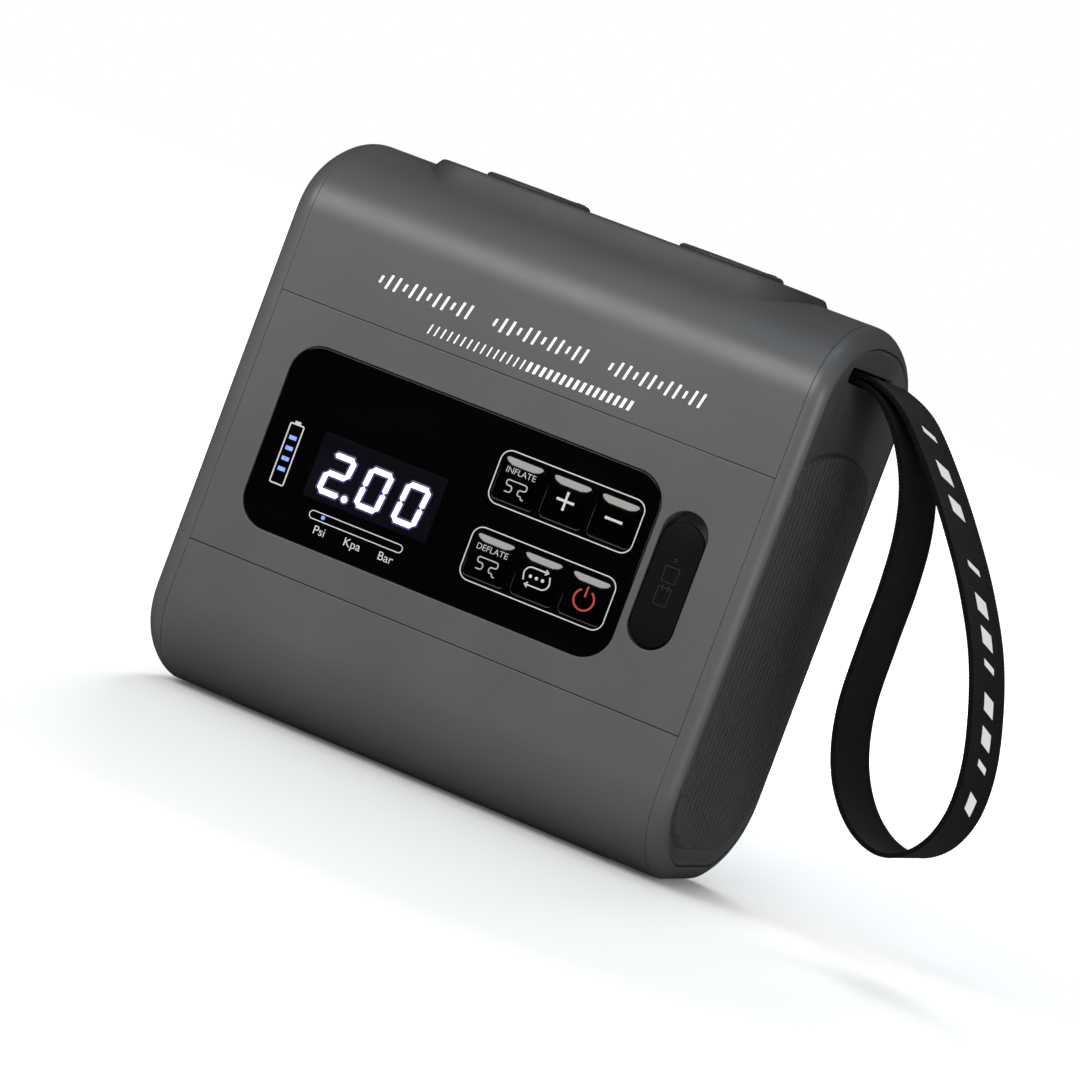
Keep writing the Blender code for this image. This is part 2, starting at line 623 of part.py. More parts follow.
def build_blower():
    """Motor, mount and shaft, and the two halves of the volute round the impeller."""
    x = BLOWER_X
    low, top = MOTOR_LOW_Z, MOTOR_TOP_Z
    profile = [
        (0, top + 2 * MM), (6.5 * MM, top + 2 * MM), (6.5 * MM, top), (16.5 * MM, top),
        (18 * MM, top - 1.5 * MM), (18 * MM, low + 1.5 * MM), (16.5 * MM, low), (0, low),
    ]
    motor = turned("motor_can", profile, (x, 0, 0), steel())
    cut(motor, cylinder("shaft_hole", "Z", (0, 0), 2.4 * MM, top - 6 * MM, top + 5 * MM, 16))
    motor.modifiers[-1].object.location = (x, 0, 0)
    turned("motor_mount", hollow(33 * MM, 8 * MM, 112.4 * MM, 115 * MM), (x, 0, 0), inner_plastic())
    turned("motor_shaft", [(0, 129 * MM), (2 * MM, 129 * MM), (2 * MM, 105 * MM), (0, 105 * MM)], (x, 0, 0),
           steel(), steps=16)
    lower = [(34 * MM, 126 * MM), (34 * MM, 115.3 * MM), (4 * MM, 115.3 * MM), (4 * MM, 117 * MM),
             (32 * MM, 117 * MM), (32 * MM, 126 * MM)]
    upper = [(13 * MM, 145.7 * MM), (13 * MM, 138 * MM), (34 * MM, 138 * MM), (34 * MM, 126.3 * MM),
             (32 * MM, 126.3 * MM), (32 * MM, 136.3 * MM), (9 * MM, 136.3 * MM), (9 * MM, 145.7 * MM)]
    for name, outline in (("volute_lower", lower), ("volute_upper", upper)):
        volute = turned(name, outline, (x, 0, 0), inner_plastic(), steps=28)
        cut(volute, cylinder("outlet_mouth", "X", (20 * MM, 126.2 * MM), 7.4 * MM, -20 * MM, x - 10 * MM, 20))
    build_impeller(x)
    build_outlet_duct()


def build_impeller(x):
    """A backing disc, a hub and twelve blades, bored for the motor shaft."""
    low, disc, hub_top, blade_top = 119 * MM, 121 * MM, 128 * MM, 133 * MM
    profile = [(0, hub_top), (6 * MM, hub_top), (8 * MM, disc), (29 * MM, disc), (29 * MM, low), (0, low)]
    wheel = turned("impeller", profile, (x, 0, 0), inner_plastic())
    for i in range(12):
        angle = 2 * math.pi * i / 12
        blade = box("blade", (8 * MM, -0.6 * MM, disc - 0.5 * MM), (24.5 * MM, 0.6 * MM, blade_top))
        cutter = cut(wheel, blade, join=True).modifiers[-1].object
        lean = math.radians(35)
        cutter.rotation_euler = (0, 0, angle + lean)
        cutter.location = (x - 6 * MM * math.sin(angle), 6 * MM * math.cos(angle), 0)
    cut(wheel, cylinder("shaft_bore", "Z", (0, 0), 2.3 * MM, 110 * MM, 140 * MM, 16))
    wheel.modifiers[-1].object.location = (x, 0, 0)


def build_outlet_duct():
    """A bent pipe from the volute's side to the underside of the inflate collar, with its check valve."""
    bend = smooth_path([(12, 20, 126.2), (2, 20, 126.2), (-8, 19, 126.5), (-17, 14.5, 127.8), (-25, 7, 131.5),
                        (-30, 1.5, 137), (-31, 0, 141.5), (-31, 0, 145.2)], 3)
    bend[-2] = Vector((bend[-1].x, bend[-1].y, bend[-2].z))
    duct = place("outlet_duct", tube_mesh("outlet_duct", [p * MM for p in bend], 8.6 * MM, 2), inner_plastic())
    ahead, behind = (bend[0] - bend[1]).normalized(), (bend[-1] - bend[-2]).normalized()
    bore = [bend[0] + ahead, *bend, bend[-1] + behind]
    cut(duct, tube_mesh("duct_bore", [p * MM for p in bore], 7.2 * MM, 2))
    cut(duct, cylinder("volute_clearance", "Z", (BLOWER_X, 0), 34 * MM + GAP, 100 * MM, 150 * MM, 40))
    low, high, radius = 147.2 * MM, 148.2 * MM, 8.2 * MM
    turned("check_valve_disc", [(0, high), (radius, high), (radius, low), (0, low)], (-PORT_X, 0, 0), rubber())


def strap_path():
    """Centre line of the hanging loop in (x, z), from the upper layer round to the lower one."""
    layer = STRAP_LAYER / MM
    slot_z = SLOT_Z / MM
    points = [
        (STRAP_START_X / MM, slot_z + layer), (88, slot_z + layer - 0.5), (98, 146.5), (110, 134.5), (122, 120),
        (132, 106), (140.5, 91), (146.5, 75), (150, 60), (150, 47), (146, 37), (138.5, 31.5), (130, 32.5),
        (121.5, 39), (114.8, 50), (111, 65), (110.2, 84), (110, 100), (108.6, 115), (105, 128), (98.5, 139.5),
        (91.5, 146.8), (86, slot_z - layer - 0.7), (STRAP_START_X / MM, slot_z - layer),
    ]
    return smooth_path([(x * MM, z * MM, 0) for x, z in points], 3)


def ribbon(name, path, finish):
    """Webbing of constant thickness that follows a path in the XZ plane and is as wide as the strap."""
    half = STRAP_THICKNESS / 2
    outer, inner = [], []
    for i, point in enumerate(path):
        before, after = path[max(i - 1, 0)], path[min(i + 1, len(path) - 1)]
        tangent = (after - before).normalized()
        normal = Vector((-tangent.y, tangent.x, 0)) * half
        outer.append((point + normal)[:2])
        inner.append((point - normal)[:2])
    return place(name, prism(name, outer + inner[::-1], "Y", -STRAP_HALF_WIDTH, STRAP_HALF_WIDTH), finish)


def build_strap():
    """The hanging loop, and its inner end that turns round a pin held by the anchor."""
    webbing = material("webbing", (0.025, 0.022, 0.021), 0.85)
    ribbon("wrist_strap", strap_path(), webbing)
    layer = STRAP_LAYER
    wrap = PIN_RADIUS + GAP + STRAP_THICKNESS / 2
    turn = [Vector((PIN_X - wrap * math.sin(a), SLOT_Z + wrap * math.cos(a), 0))
            for a in (math.pi * i / 8 for i in range(9))]
    tail = [Vector((79.4 * MM, SLOT_Z + layer, 0)), Vector((76.5 * MM, SLOT_Z + layer + 0.3 * MM, 0)), *turn,
            Vector((76.5 * MM, SLOT_Z - layer - 0.3 * MM, 0)), Vector((79.4 * MM, SLOT_Z - layer, 0))]
    ribbon("strap_tail", tail, webbing)
    pin = cylinder("strap_pin", "Y", (PIN_X, SLOT_Z), PIN_RADIUS, -23.5 * MM, 23.5 * MM, 16)
    place("strap_pin", pin, steel())
    plate = box("strap_anchor", (75.6 * MM, -24 * MM, 144 * MM), (77.3 * MM, 24 * MM, 155 * MM))
    anchor = place("strap_anchor", plate, inner_plastic())
    slot_half = 2.6 * MM
    low, high = (70 * MM, -19.6 * MM, SLOT_Z - slot_half), (80 * MM, 19.6 * MM, SLOT_Z + slot_half)
    cut(anchor, box("anchor_slot", low, high))
    for side in (-1, 1):
        y = side * 22 * MM
        ear = box("anchor_ear", (69.5 * MM, y - 1.6 * MM, 147 * MM), (76 * MM, y + 1.6 * MM, 154 * MM))
        cut(anchor, ear, join=True)
        cut(anchor, cylinder("pin_hole", "Y", (PIN_X, SLOT_Z), PIN_RADIUS + GAP, y - 3 * MM, y + 3 * MM, 16))


clear_scene()
PARTS = new_collection("air_mattress_pump")
CUTTERS = new_collection("cutters")
build_shells()
build_frame_and_screws()
build_end(-1, "left")
build_end(1, "right")
build_platform()
build_ports()
build_panel()
build_charging()
build_battery()
build_electronics()
build_blower()
build_strap()
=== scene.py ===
"""Looks of a battery air mattress pump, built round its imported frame.

Shapes are written in millimetres and scaled to metres as each mesh is made.  The front is at -Y.
"""

import math

import bmesh
import bpy
from mathutils import Matrix, Vector


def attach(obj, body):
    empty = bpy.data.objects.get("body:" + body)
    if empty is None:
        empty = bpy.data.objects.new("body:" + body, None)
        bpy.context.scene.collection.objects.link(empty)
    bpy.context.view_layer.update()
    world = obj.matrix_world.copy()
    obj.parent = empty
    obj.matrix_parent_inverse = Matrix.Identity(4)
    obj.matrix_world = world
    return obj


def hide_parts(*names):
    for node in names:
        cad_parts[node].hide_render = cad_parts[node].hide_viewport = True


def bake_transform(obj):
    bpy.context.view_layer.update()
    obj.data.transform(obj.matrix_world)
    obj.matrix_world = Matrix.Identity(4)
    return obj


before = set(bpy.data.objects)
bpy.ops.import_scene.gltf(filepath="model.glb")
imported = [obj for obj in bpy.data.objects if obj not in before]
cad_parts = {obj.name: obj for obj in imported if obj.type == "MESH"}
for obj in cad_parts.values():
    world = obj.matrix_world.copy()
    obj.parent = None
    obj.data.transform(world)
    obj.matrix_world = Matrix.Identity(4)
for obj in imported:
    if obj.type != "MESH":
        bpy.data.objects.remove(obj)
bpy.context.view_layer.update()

MM = 0.001
GAP = 0.3
SEAM = 0.18

# Body profile, seen along X
HALF_DEPTH, HALF_LENGTH = 42.0, 77.85
ROLL_POWER = 2.2
TOP_ROLL_Z, TOP_ROLL_RISE = 140.0, 26.0
BOTTOM_ROLL_Z, BOTTOM_ROLL_DROP = 27.5, 28.0
FLAT_BASE_Z = 0.8
WALL, SIDE_WALL = 2.4, 2.1
UPPER_SEAM_Z, LOWER_SEAM_Z = 117.4, 42.2

# Ends: a fluted insert with an arched top and wider shoulders, and on the right a slot for the strap
INSERT_HALF_WIDTH, INSERT_LOW_Z, INSERT_HIGH_Z = 37.4, 11.0, 129.2
ARCH_HALF_WIDTH, ARCH_FOOT_Z, INSERT_BOTTOM_RADIUS = 35.3, 119.3, 24.0
SHOULDER_STEP, SHOULDER_FALL = 1.5, 4.5
INSERT_BASE_X, INSERT_ARCH_X, INSERT_SHOULDER_RISE = 81.0, 81.85, 0.75
INSERT_BOW, SHOULDER_BOW_LOSS = 1.0, 0.45
SHOULDER_TOP_Z, SHOULDER_BLEND = 121.0, 9.0
FLUTES, FLUTE_SAMPLES, FLUTE_DEPTH = 22, 10, 0.62
SLOT_Z, SLOT_HALF_HEIGHT, SLOT_HALF_WIDTH = 151.0, 2.3, 21.5

# Front panel
PANEL_CENTRE, PANEL_SIZE, PANEL_RADIUS = (-8.5, 79.3), (117.0, 54.0), 9.0
PANEL_FACE_Y, PANEL_BACK_Y = -41.9, -39.9
KEY_COLUMNS, KEY_ROWS = (9.0, 24.0, 39.0), (90.8, 68.0)
KEY_NAMES = (("inflate_key", "plus_key", "minus_key"), ("deflate_key", "mode_key", "power_key"))
KEY_SIZE, KEY_RADIUS = (12.5, 12.0), 1.3
KEY_RIM_Y, KEY_RISE, KEY_CROWN_POWER = -42.1, 0.8, 4.5
KEY_GROUP_X, KEY_GROUP_SIZE, KEY_GROUP_RADIUS = 23.9, (44.8, 15.5), 3.2
CHARGE_X, CHARGE_HALF_WIDTH, CHARGE_LOW_Z, CHARGE_HIGH_Z = 59.35, 6.85, 60.8, 100.7
SCREW_FACE_Y = 41.9
SCREW_PLACES = [(sx * 66.0, z) for sx in (-1, 1) for z in (50.0, 109.5)]

# Ports
PORT_X, PORT_BORE_RADIUS, SHELL_BORE_RADIUS = 31.0, 13.3, 14.2
PLATFORM_TOP_Z, PLATFORM_STRAIGHT, PLATFORM_POWER = 168.0, 44.0, 0.9
CAP_TAB_HALF_WIDTH, HINGE_EAR_X, HINGE_EAR_HALF_WIDTH = 5.4, 7.0, 1.2
CAP_RADIUS, CAP_LOW_Z, CAP_TOP_Z = 15.7, 168.12, 169.45
HINGE_Y, HINGE_Z = 17.5, 168.95

# Strap
STRAP_HALF_WIDTH, STRAP_THICKNESS = 19.0, 1.4
RIB_PITCH, RIB_HEIGHT, RIB_SAMPLES = 1.05, 0.07, 6
MARK_LENGTH, THIN_MARK_LENGTH, MARK_HALF_WIDTH, MARK_LEAN = 4.8, 1.8, 5.2, 1.3


# ---------------------------------------------------------------- materials

def new_material(name):
    """A material with its node tree and its object coordinates."""
    made = bpy.data.materials.new(name)
    made.use_nodes = True
    return made, made.node_tree, made.node_tree.nodes.new("ShaderNodeTexCoord").outputs["Object"]


def feed(tree, socket, value):
    """Links a socket to another, or sets its plain value."""
    if isinstance(value, bpy.types.NodeSocket):
        tree.links.new(value, socket)
    else:
        socket.default_value = value


def node(tree, kind, **settings):
    made = tree.nodes.new(kind)
    for key, value in settings.items():
        if key in made.inputs:
            feed(tree, made.inputs[key], value)
        else:
            setattr(made, key, value)
    return made


def surface(tree, **values):
    """Feeds the material's shader; an underscore stands for a space in a socket's name."""
    for key, value in values.items():
        feed(tree, tree.nodes["Principled BSDF"].inputs[key.replace("_", " ")], value)


def bumps(tree, height, strength, distance):
    made = node(tree, "ShaderNodeBump", Strength=strength, Distance=distance, Height=height)
    return made.outputs["Normal"]


def stretched(tree, vector, scale, turn=(0.0, 0.0, 0.0)):
    return node(tree, "ShaderNodeMapping", Vector=vector, Scale=scale, Rotation=turn).outputs["Vector"]


def noise(tree, vector, scale, detail=3.0):
    return node(tree, "ShaderNodeTexNoise", Vector=vector, Scale=scale, Detail=detail).outputs["Fac"]


def ramp(tree, value, stops):
    """Maps a value to colours; stops are (place, grey or colour)."""
    made = tree.nodes.new("ShaderNodeValToRGB")
    while len(made.color_ramp.elements) < len(stops):
        made.color_ramp.elements.new(0.5)
    for element, (place, colour) in zip(made.color_ramp.elements, stops):
        element.position = place
        element.color = (*colour, 1) if isinstance(colour, tuple) else (colour, colour, colour, 1)
    tree.links.new(value, made.inputs["Fac"])
    return made.outputs["Color"]


def mixed(tree, factor, one, other, blend="MIX"):
    made = tree.nodes.new("ShaderNodeMix")
    made.data_type = "RGBA"
    made.blend_type = blend
    for place, value in ((0, factor), (6, one), (7, other)):
        feed(tree, made.inputs[place], value)
    return made.outputs[2]


def shade(colour, gain):
    return tuple(min(1.0, c * gain) for c in colour)


def moulded(name, colour, roughness, grain=2600.0, grain_depth=0.00002, specular=0.5, wear_and_highlight=1.5, spread=0.06):
    """Plastic or rubber: fine grain, cloudy tone, handled patches, and sharp edges brightened by a set
    factor, partly as edge wear and partly as a painted highlight.
    """
    made, tree, place = new_material(name)
    clouds = [(0.3, shade(colour, 1 - spread)), (0.7, shade(colour, 1 + spread))]
    cloud = ramp(tree, noise(tree, place, 22.0), clouds)
    speck = ramp(tree, noise(tree, place, grain * 0.5, 2.0), [(0.35, 0.94), (0.65, 1.0)])
    toned = mixed(tree, 1.0, cloud, speck, "MULTIPLY")
    # Pointiness lightens sharp edges: partly rubbed wear, partly a painted highlight along them.
    point = tree.nodes.new("ShaderNodeNewGeometry").outputs["Pointiness"]
    edge = ramp(tree, point, [(0.53, 0.0), (0.62, 1.0)])
    handled = [(0.35, roughness * 0.9), (0.7, min(1.0, roughness * 1.12))]
    surface(tree, Base_Color=mixed(tree, edge, toned, (*shade(colour, wear_and_highlight), 1)), Specular_IOR_Level=specular,
            Roughness=ramp(tree, noise(tree, place, 38.0, 4.0), handled),
            Normal=bumps(tree, noise(tree, place, grain, 2.0), 0.5, grain_depth))
    return made


def metal(name, colour, roughness):
    """Metal with fine drawn lines, a little less than fully metallic so that it shows in soft light."""
    made, tree, place = new_material(name)
    lines = noise(tree, stretched(tree, place, (60.0, 60.0, 2400.0)), 1.0, 3.0)
    surface(tree, Base_Color=ramp(tree, lines, [(0.3, shade(colour, 0.86)), (0.7, colour)]), Metallic=0.75,
            Roughness=ramp(tree, lines, [(0.3, roughness * 0.8), (0.7, roughness * 1.3)]),
            Normal=bumps(tree, lines, 0.3, 0.00001))
    return made


def glossy(name, colour, roughness, haze=0.5, specular=0.5):
    """Polished plastic: faint smears in its gloss, and a trace of orange peel."""
    made, tree, place = new_material(name)
    patches = noise(tree, stretched(tree, place, (30.0, 30.0, 90.0), (0.0, 0.5, 0.0)), 1.0, 5.0)
    surface(tree, Base_Color=ramp(tree, patches, [(0.35, colour), (0.75, shade(colour, 1.6))]),
            Roughness=ramp(tree, patches, [(0.4, roughness), (0.75, roughness * (1 + haze))]),
            Specular_IOR_Level=specular, Normal=bumps(tree, noise(tree, place, 350.0, 2.0), 0.15, 0.00002))
    return made


def printed(name, colour):
    """Screen print: slightly uneven ink with pinholes."""
    made, tree, place = new_material(name)
    ink = noise(tree, place, 3200.0, 3.0)
    surface(tree, Base_Color=ramp(tree, ink, [(0.25, shade(colour, 0.8)), (0.5, colour)]),
            Roughness=ramp(tree, ink, [(0.3, 0.6), (0.7, 0.45)]))
    return made


def glowing(name, colour, strength, edge_colour):
    """A lit diode window, slightly cloudy where its diffuser is thin."""
    made, tree, place = new_material(name)
    cloud = noise(tree, place, 900.0, 2.0)
    surface(tree, Emission_Color=ramp(tree, cloud, [(0.3, edge_colour), (0.55, colour)]),
            Emission_Strength=strength, Base_Color=(0.02, 0.02, 0.03, 1), Roughness=0.4)
    return made


def woven(name, colour):
    """Ribbed webbing: threads across each rib, rib crowns lighter than the painted shade in the grooves
    between them, soft fibre sheen.
    """
    made, tree, _ = new_material(name)
    along = node(tree, "ShaderNodeUVMap", uv_map="length").outputs["UV"]
    fibre = noise(tree, stretched(tree, along, (1400.0, 7600.0, 1.0)), 1.0, 2.0)
    ribs = node(tree, "ShaderNodeTexWave", Scale=1.0 / (RIB_PITCH * MM) / 20 * math.pi, Distortion=0.6,
                bands_direction="X", Vector=along)
    tone = ramp(tree, fibre, [(0.3, shade(colour, 0.6)), (0.7, shade(colour, 1.5))])
    # Painted shade: the wave darkens the grooves between the ribs to 0.7 of the crowns.
    groove_shade = ramp(tree, ribs.outputs["Fac"], [(0.2, 0.7), (0.8, 1.0)])
    surface(tree, Base_Color=mixed(tree, 1.0, tone, groove_shade, "MULTIPLY"), Sheen_Weight=0.02,
            Roughness=ramp(tree, fibre, [(0.3, 0.78), (0.7, 0.95)]), Sheen_Roughness=0.5,
            Specular_IOR_Level=0.1, Normal=bumps(tree, fibre, 0.8, 0.00008))
    return made


BODY = moulded("body_plastic", (0.064, 0.0635, 0.066), 0.4, wear_and_highlight=1.0)
# Darker than the body: partly the platform's own plastic, partly painted shade. Also used for the hinge ears
# and caps.
PLATFORM_WITH_SHADE = moulded("platform_plastic_and_painted_shade", (0.04, 0.0408, 0.0425), 0.5, specular=0.22)
INSERT = moulded("insert_plastic", (0.05, 0.046, 0.045), 0.34, grain=1800.0, grain_depth=0.00001)
LENS = glossy("gloss_black", (0.0006, 0.0006, 0.0008), 0.06)
KEY = glossy("key_gloss", (0.0005, 0.0004, 0.0004), 0.09, haze=0.2, specular=0.8)
WINDOW = glossy("display_window", (0.0026, 0.0024, 0.0038), 0.06)
RUBBER = moulded("rubber_black", (0.0026, 0.0019, 0.0017), 0.6, grain=3000.0, grain_depth=0.00003,
                 specular=0.1)
INNER = moulded("inner_plastic", (0.045, 0.045, 0.048), 0.5)
BOARD = moulded("circuit_board", (0.012, 0.09, 0.04), 0.4, grain=700.0, grain_depth=0.00004, spread=0.25)
CELL = moulded("cell_wrap", (0.03, 0.11, 0.33), 0.32, grain=500.0, spread=0.1)
STEEL = metal("steel", (0.56, 0.56, 0.57), 0.28)
WEBBING = woven("webbing", (0.0019, 0.0016, 0.0014))
WHITE_INK = printed("white_print", (0.8, 0.8, 0.8))
PANEL_INK = printed("panel_print", (0.4, 0.4, 0.41))
GREY_INK = printed("grey_print", (0.3, 0.3, 0.31))
RED_INK = printed("red_print", (0.34, 0.014, 0.02))
EMBOSS = printed("embossed_rubber", (0.006, 0.005, 0.005))
DIGITS = glowing("display_light", (0.93, 0.88, 1.0), 2.4, (0.75, 0.62, 1.0))
HALO = glowing("display_halo", (0.2, 0.12, 0.62), 0.7, (0.15, 0.08, 0.5))
OUTER_HALO = glowing("display_outer_halo", (0.1, 0.05, 0.3), 0.22, (0.07, 0.04, 0.25))
BLUE_LIGHT = glowing("indicator_light", (0.2, 0.36, 1.0), 1.3, (0.12, 0.22, 0.9))


# ---------------------------------------------------------------- shape helpers

def to_mesh(bm, name):
    """Finishes a mesh that was written in millimetres."""
    bmesh.ops.recalc_face_normals(bm, faces=bm.faces)
    bmesh.ops.scale(bm, vec=(MM, MM, MM), verts=bm.verts)
    mesh = bpy.data.meshes.new(name)
    bm.to_mesh(mesh)
    bm.free()
    return mesh


def linked(name, data):
    """A new object in the scene."""
    obj = bpy.data.objects.new(name, data)
    bpy.context.scene.collection.objects.link(obj)
    return obj


def add(name, bm, finish, body="root", replaces=()):
    """Links a piece, smooth except at its edges, and hangs it on its body."""
    mesh = to_mesh(bm, name)
    mesh.materials.append(finish)
    mesh.shade_smooth()
    mesh.set_sharp_from_angle(angle=math.radians(32))
    obj = linked(name, mesh)
    if replaces:
        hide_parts(*replaces)
    if body:
        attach(obj, body)
    return obj


def flat_fronts(mesh):
    """Keeps faces that look straight forward or back flat; only the edges around them shade softly."""
    for face in mesh.polygons:
        if abs(face.normal.y) > 0.9999:
            face.use_smooth = False


def bevel(obj, width, segments=3):
    """Rounds a piece's sharp edges by a width in millimetres."""
    made = obj.modifiers.new("edges", "BEVEL")
    made.width = width * MM
    made.segments = segments
    made.limit_method = "ANGLE"
    made.angle_limit = math.radians(38)
    made.use_clamp_overlap = True


def cut(obj, bm):
    """Takes a bmesh's space out of a piece."""
    cutter = linked("cutter", to_mesh(bm, "cutter"))
    cutter.hide_render = True
    cutter.hide_viewport = True
    made = obj.modifiers.new("cut", "BOOLEAN")
    made.operation = "DIFFERENCE"
    made.solver = "EXACT"
    made.object = cutter


def evaluated_mesh(obj):
    """The mesh that an object shows once its modifiers or curve settings are worked out."""
    bpy.context.view_layer.update()
    evaluated = obj.evaluated_get(bpy.context.evaluated_depsgraph_get())
    return bpy.data.meshes.new_from_object(evaluated)


def applied(obj):
    """Makes an object's modifiers part of its mesh and removes the cutters they used."""
    mesh = evaluated_mesh(obj)
    used = [m.object for m in obj.modifiers if m.type == "BOOLEAN"]
    obj.modifiers.clear()
    obj.data = mesh
    for cutter in used:
        bpy.data.objects.remove(cutter)


def loft(sections, ring=False):
    """Joins equal loops of points in order, end to end with caps or round into a ring."""
    bm = bmesh.new()
    loops = [[bm.verts.new(p) for p in section] for section in sections]
    pairs = list(zip(loops, loops[1:])) + ([(loops[-1], loops[0])] if ring else [])
    for one, other in pairs:
        for i in range(len(one)):
            j = (i + 1) % len(one)
            bm.faces.new((one[i], one[j], other[j], other[i]))
    if not ring:
        bm.faces.new(loops[0])
        bm.faces.new(reversed(loops[-1]))
    return bm


def drawn_along(outline, axis, low, high):
    """A prism on an outline of the other two coordinates, between two places along an axis."""
    order = {"X": lambda a, b, t: (t, a, b), "Y": lambda a, b, t: (a, t, b), "Z": lambda a, b, t: (a, b, t)}
    return loft([[order[axis](a, b, t) for a, b in outline] for t in (low, high)])


def block(low, high):
    """A box between two corners."""
    return drawn_along([(low[1], low[2]), (high[1], low[2]), (high[1], high[2]), (low[1], high[2])],
                       "X", low[0], high[0])


def circle(cx, cy, radius, steps=64):
    turn = 2 * math.pi / steps
    return [(cx + radius * math.cos(turn * i), cy + radius * math.sin(turn * i)) for i in range(steps)]


def rounded(cx, cy, width, height, radius, steps=10):
    """A rectangle with round corners."""
    points = []
    for turn, (sx, sy) in enumerate(((1, 1), (-1, 1), (-1, -1), (1, -1))):
        ax, ay = cx + sx * (width / 2 - radius), cy + sy * (height / 2 - radius)
        for i in range(steps + 1):
            angle = math.pi / 2 * (turn + i / steps)
            points.append((ax + radius * math.cos(angle), ay + radius * math.sin(angle)))
    return points


def obround(cx, low, high, radius):
    """An upright slot shape with round ends."""
    return rounded(cx, (low + high) / 2, 2 * radius, high - low, radius * 0.9999, 12)


def turned(profile, centre, steps=96):
    """Turns (radius, height) points about an upright axis through the centre; open at neither end."""
    bm = bmesh.new()
    loops = []
    for radius, height in profile:
        if radius == 0:
            loops.append([bm.verts.new((0, 0, height))])
        else:
            loops.append([bm.verts.new((a, b, height)) for a, b in circle(0, 0, radius, steps)])
    pairs = list(zip(loops, loops[1:]))
    if profile[0][0] and profile[-1][0]:
        pairs.append((loops[-1], loops[0]))
    for one, other in pairs:
        for i in range(steps):
            j = (i + 1) % steps
            corners = [one[i % len(one)], one[j % len(one)], other[j % len(other)], other[i % len(other)]]
            corners = [c for n, c in enumerate(corners) if c not in corners[:n]]
            if len(corners) > 2:
                bm.faces.new(corners)
    bmesh.ops.translate(bm, verts=bm.verts, vec=centre)
    return bm


def filleted(points, radius, steps=4):
    """Rounds the inner corners of an open line of (a, b) points."""
    knots = [Vector(p) for p in points]
    made = [knots[0]]
    for before, knot, after in zip(knots, knots[1:], knots[2:]):
        reach = min(radius, (before - knot).length / 2.2, (after - knot).length / 2.2)
        start = knot + (before - knot).normalized() * reach
        end = knot + (after - knot).normalized() * reach
        for i in range(steps + 1):
            t = i / steps
            made.append(start * (1 - t) ** 2 + knot * 2 * t * (1 - t) + end * t**2)
    return [tuple(p) for p in [*made, knots[-1]]]


FACING = {
    "front": Matrix(((1, 0, 0), (0, 0, -1), (0, 1, 0))),
    "rear": Matrix(((-1, 0, 0), (0, 0, 1), (0, 1, 0))),
    "up": Matrix.Identity(3),
}


def curve_mesh(outlines, facing, level, fill, cyclic=True, extrude=0.0, edge=0.0, flatten=1.0):
    """Outlines or lines in a plane, as a bmesh in millimetres facing the given way at the given level."""
    data = bpy.data.curves.new("outline", "CURVE")
    data.dimensions = "2D" if fill else "3D"
    data.fill_mode = "BOTH" if fill else "FULL"
    data.extrude = extrude
    data.bevel_depth = edge
    data.bevel_resolution = 2
    if fill:
        data.offset = -edge
    else:
        data.use_fill_caps = True
    for outline in outlines:
        spline = data.splines.new("POLY")
        spline.points.add(len(outline) - 1)
        for knot, (a, b) in zip(spline.points, outline):
            knot.co = (a, b, 0, 1)
        spline.use_cyclic_u = cyclic
    return flat_bmesh(data, facing, level, flatten)


def flat_bmesh(data, facing, level, flatten=1.0):
    """A curve's or text's own mesh as a bmesh, turned to face a way and lifted to a level."""
    guide = linked("guide", data)
    mesh = evaluated_mesh(guide)
    bpy.data.objects.remove(guide)
    bm = bmesh.new()
    bm.from_mesh(mesh)
    bpy.data.meshes.remove(mesh)
    bmesh.ops.remove_doubles(bm, verts=bm.verts, dist=0.001)
    bmesh.ops.dissolve_degenerate(bm, dist=0.0005, edges=bm.edges)
    bmesh.ops.scale(bm, vec=(1, 1, flatten), verts=bm.verts)
    bmesh.ops.transform(bm, matrix=FACING[facing].to_4x4(), verts=bm.verts)
    lift = FACING[facing] @ Vector((0, 0, 1))
    bmesh.ops.translate(bm, verts=bm.verts, vec=lift * level)
    return bm


def plate(outlines, facing, low, high, edge=0.3):
    """A flat plate with holes and rounded edges; low and high are measured the way it faces."""
    return curve_mesh(outlines, facing, (low + high) / 2, True, extrude=(high - low) / 2 - edge, edge=edge)


def strokes(lines, width, facing, level, cyclic=False):
    """Painted lines of one width, as very flat rods."""
    return curve_mesh(lines, facing, level, False, cyclic=cyclic, edge=width / 2, flatten=0.06 / width)


def lettering(text, size, centre, facing, level):
    """Plain generic lettering, thin and flat."""
    data = bpy.data.curves.new("lettering", "FONT")
    data.body = text
    data.size = size
    data.align_x = "CENTER"
    data.align_y = "CENTER"
    data.extrude = 0.015
    bm = flat_bmesh(data, facing, level)
    bmesh.ops.translate(bm, verts=bm.verts, vec=(centre[0], 0, centre[1]))
    return bm


def joined(parts):
    """Several bmeshes as one."""
    whole = bmesh.new()
    for part in parts:
        mesh = bpy.data.meshes.new("part")
        part.to_mesh(mesh)
        part.free()
        whole.from_mesh(mesh)
        bpy.data.meshes.remove(mesh)
    return whole


def arc(cx, cy, radius, start, end, steps=24):
    """Points of an arc between two angles in degrees."""
    turns = [math.radians(start + (end - start) * i / steps) for i in range(steps + 1)]
    return [(cx + radius * math.cos(turn), cy + radius * math.sin(turn)) for turn in turns]


# ---------------------------------------------------------------- body

def roll(half_depth, height, steps):
    """Half a superellipse, from -Y to +Y."""
    points = []
    for i in range(steps + 1):
        angle = math.pi * i / steps
        c, s = math.cos(angle), math.sin(angle)
        y = -math.copysign(abs(c) ** (2 / ROLL_POWER), c) * half_depth
        points.append((y, abs(s) ** (2 / ROLL_POWER) * height))
    return points


def top_roll(inset_y, inset_z, steps=72):
    half, rise = HALF_DEPTH - inset_y, TOP_ROLL_RISE - inset_z
    return [(y, TOP_ROLL_Z + z) for y, z in roll(half, rise, steps)]


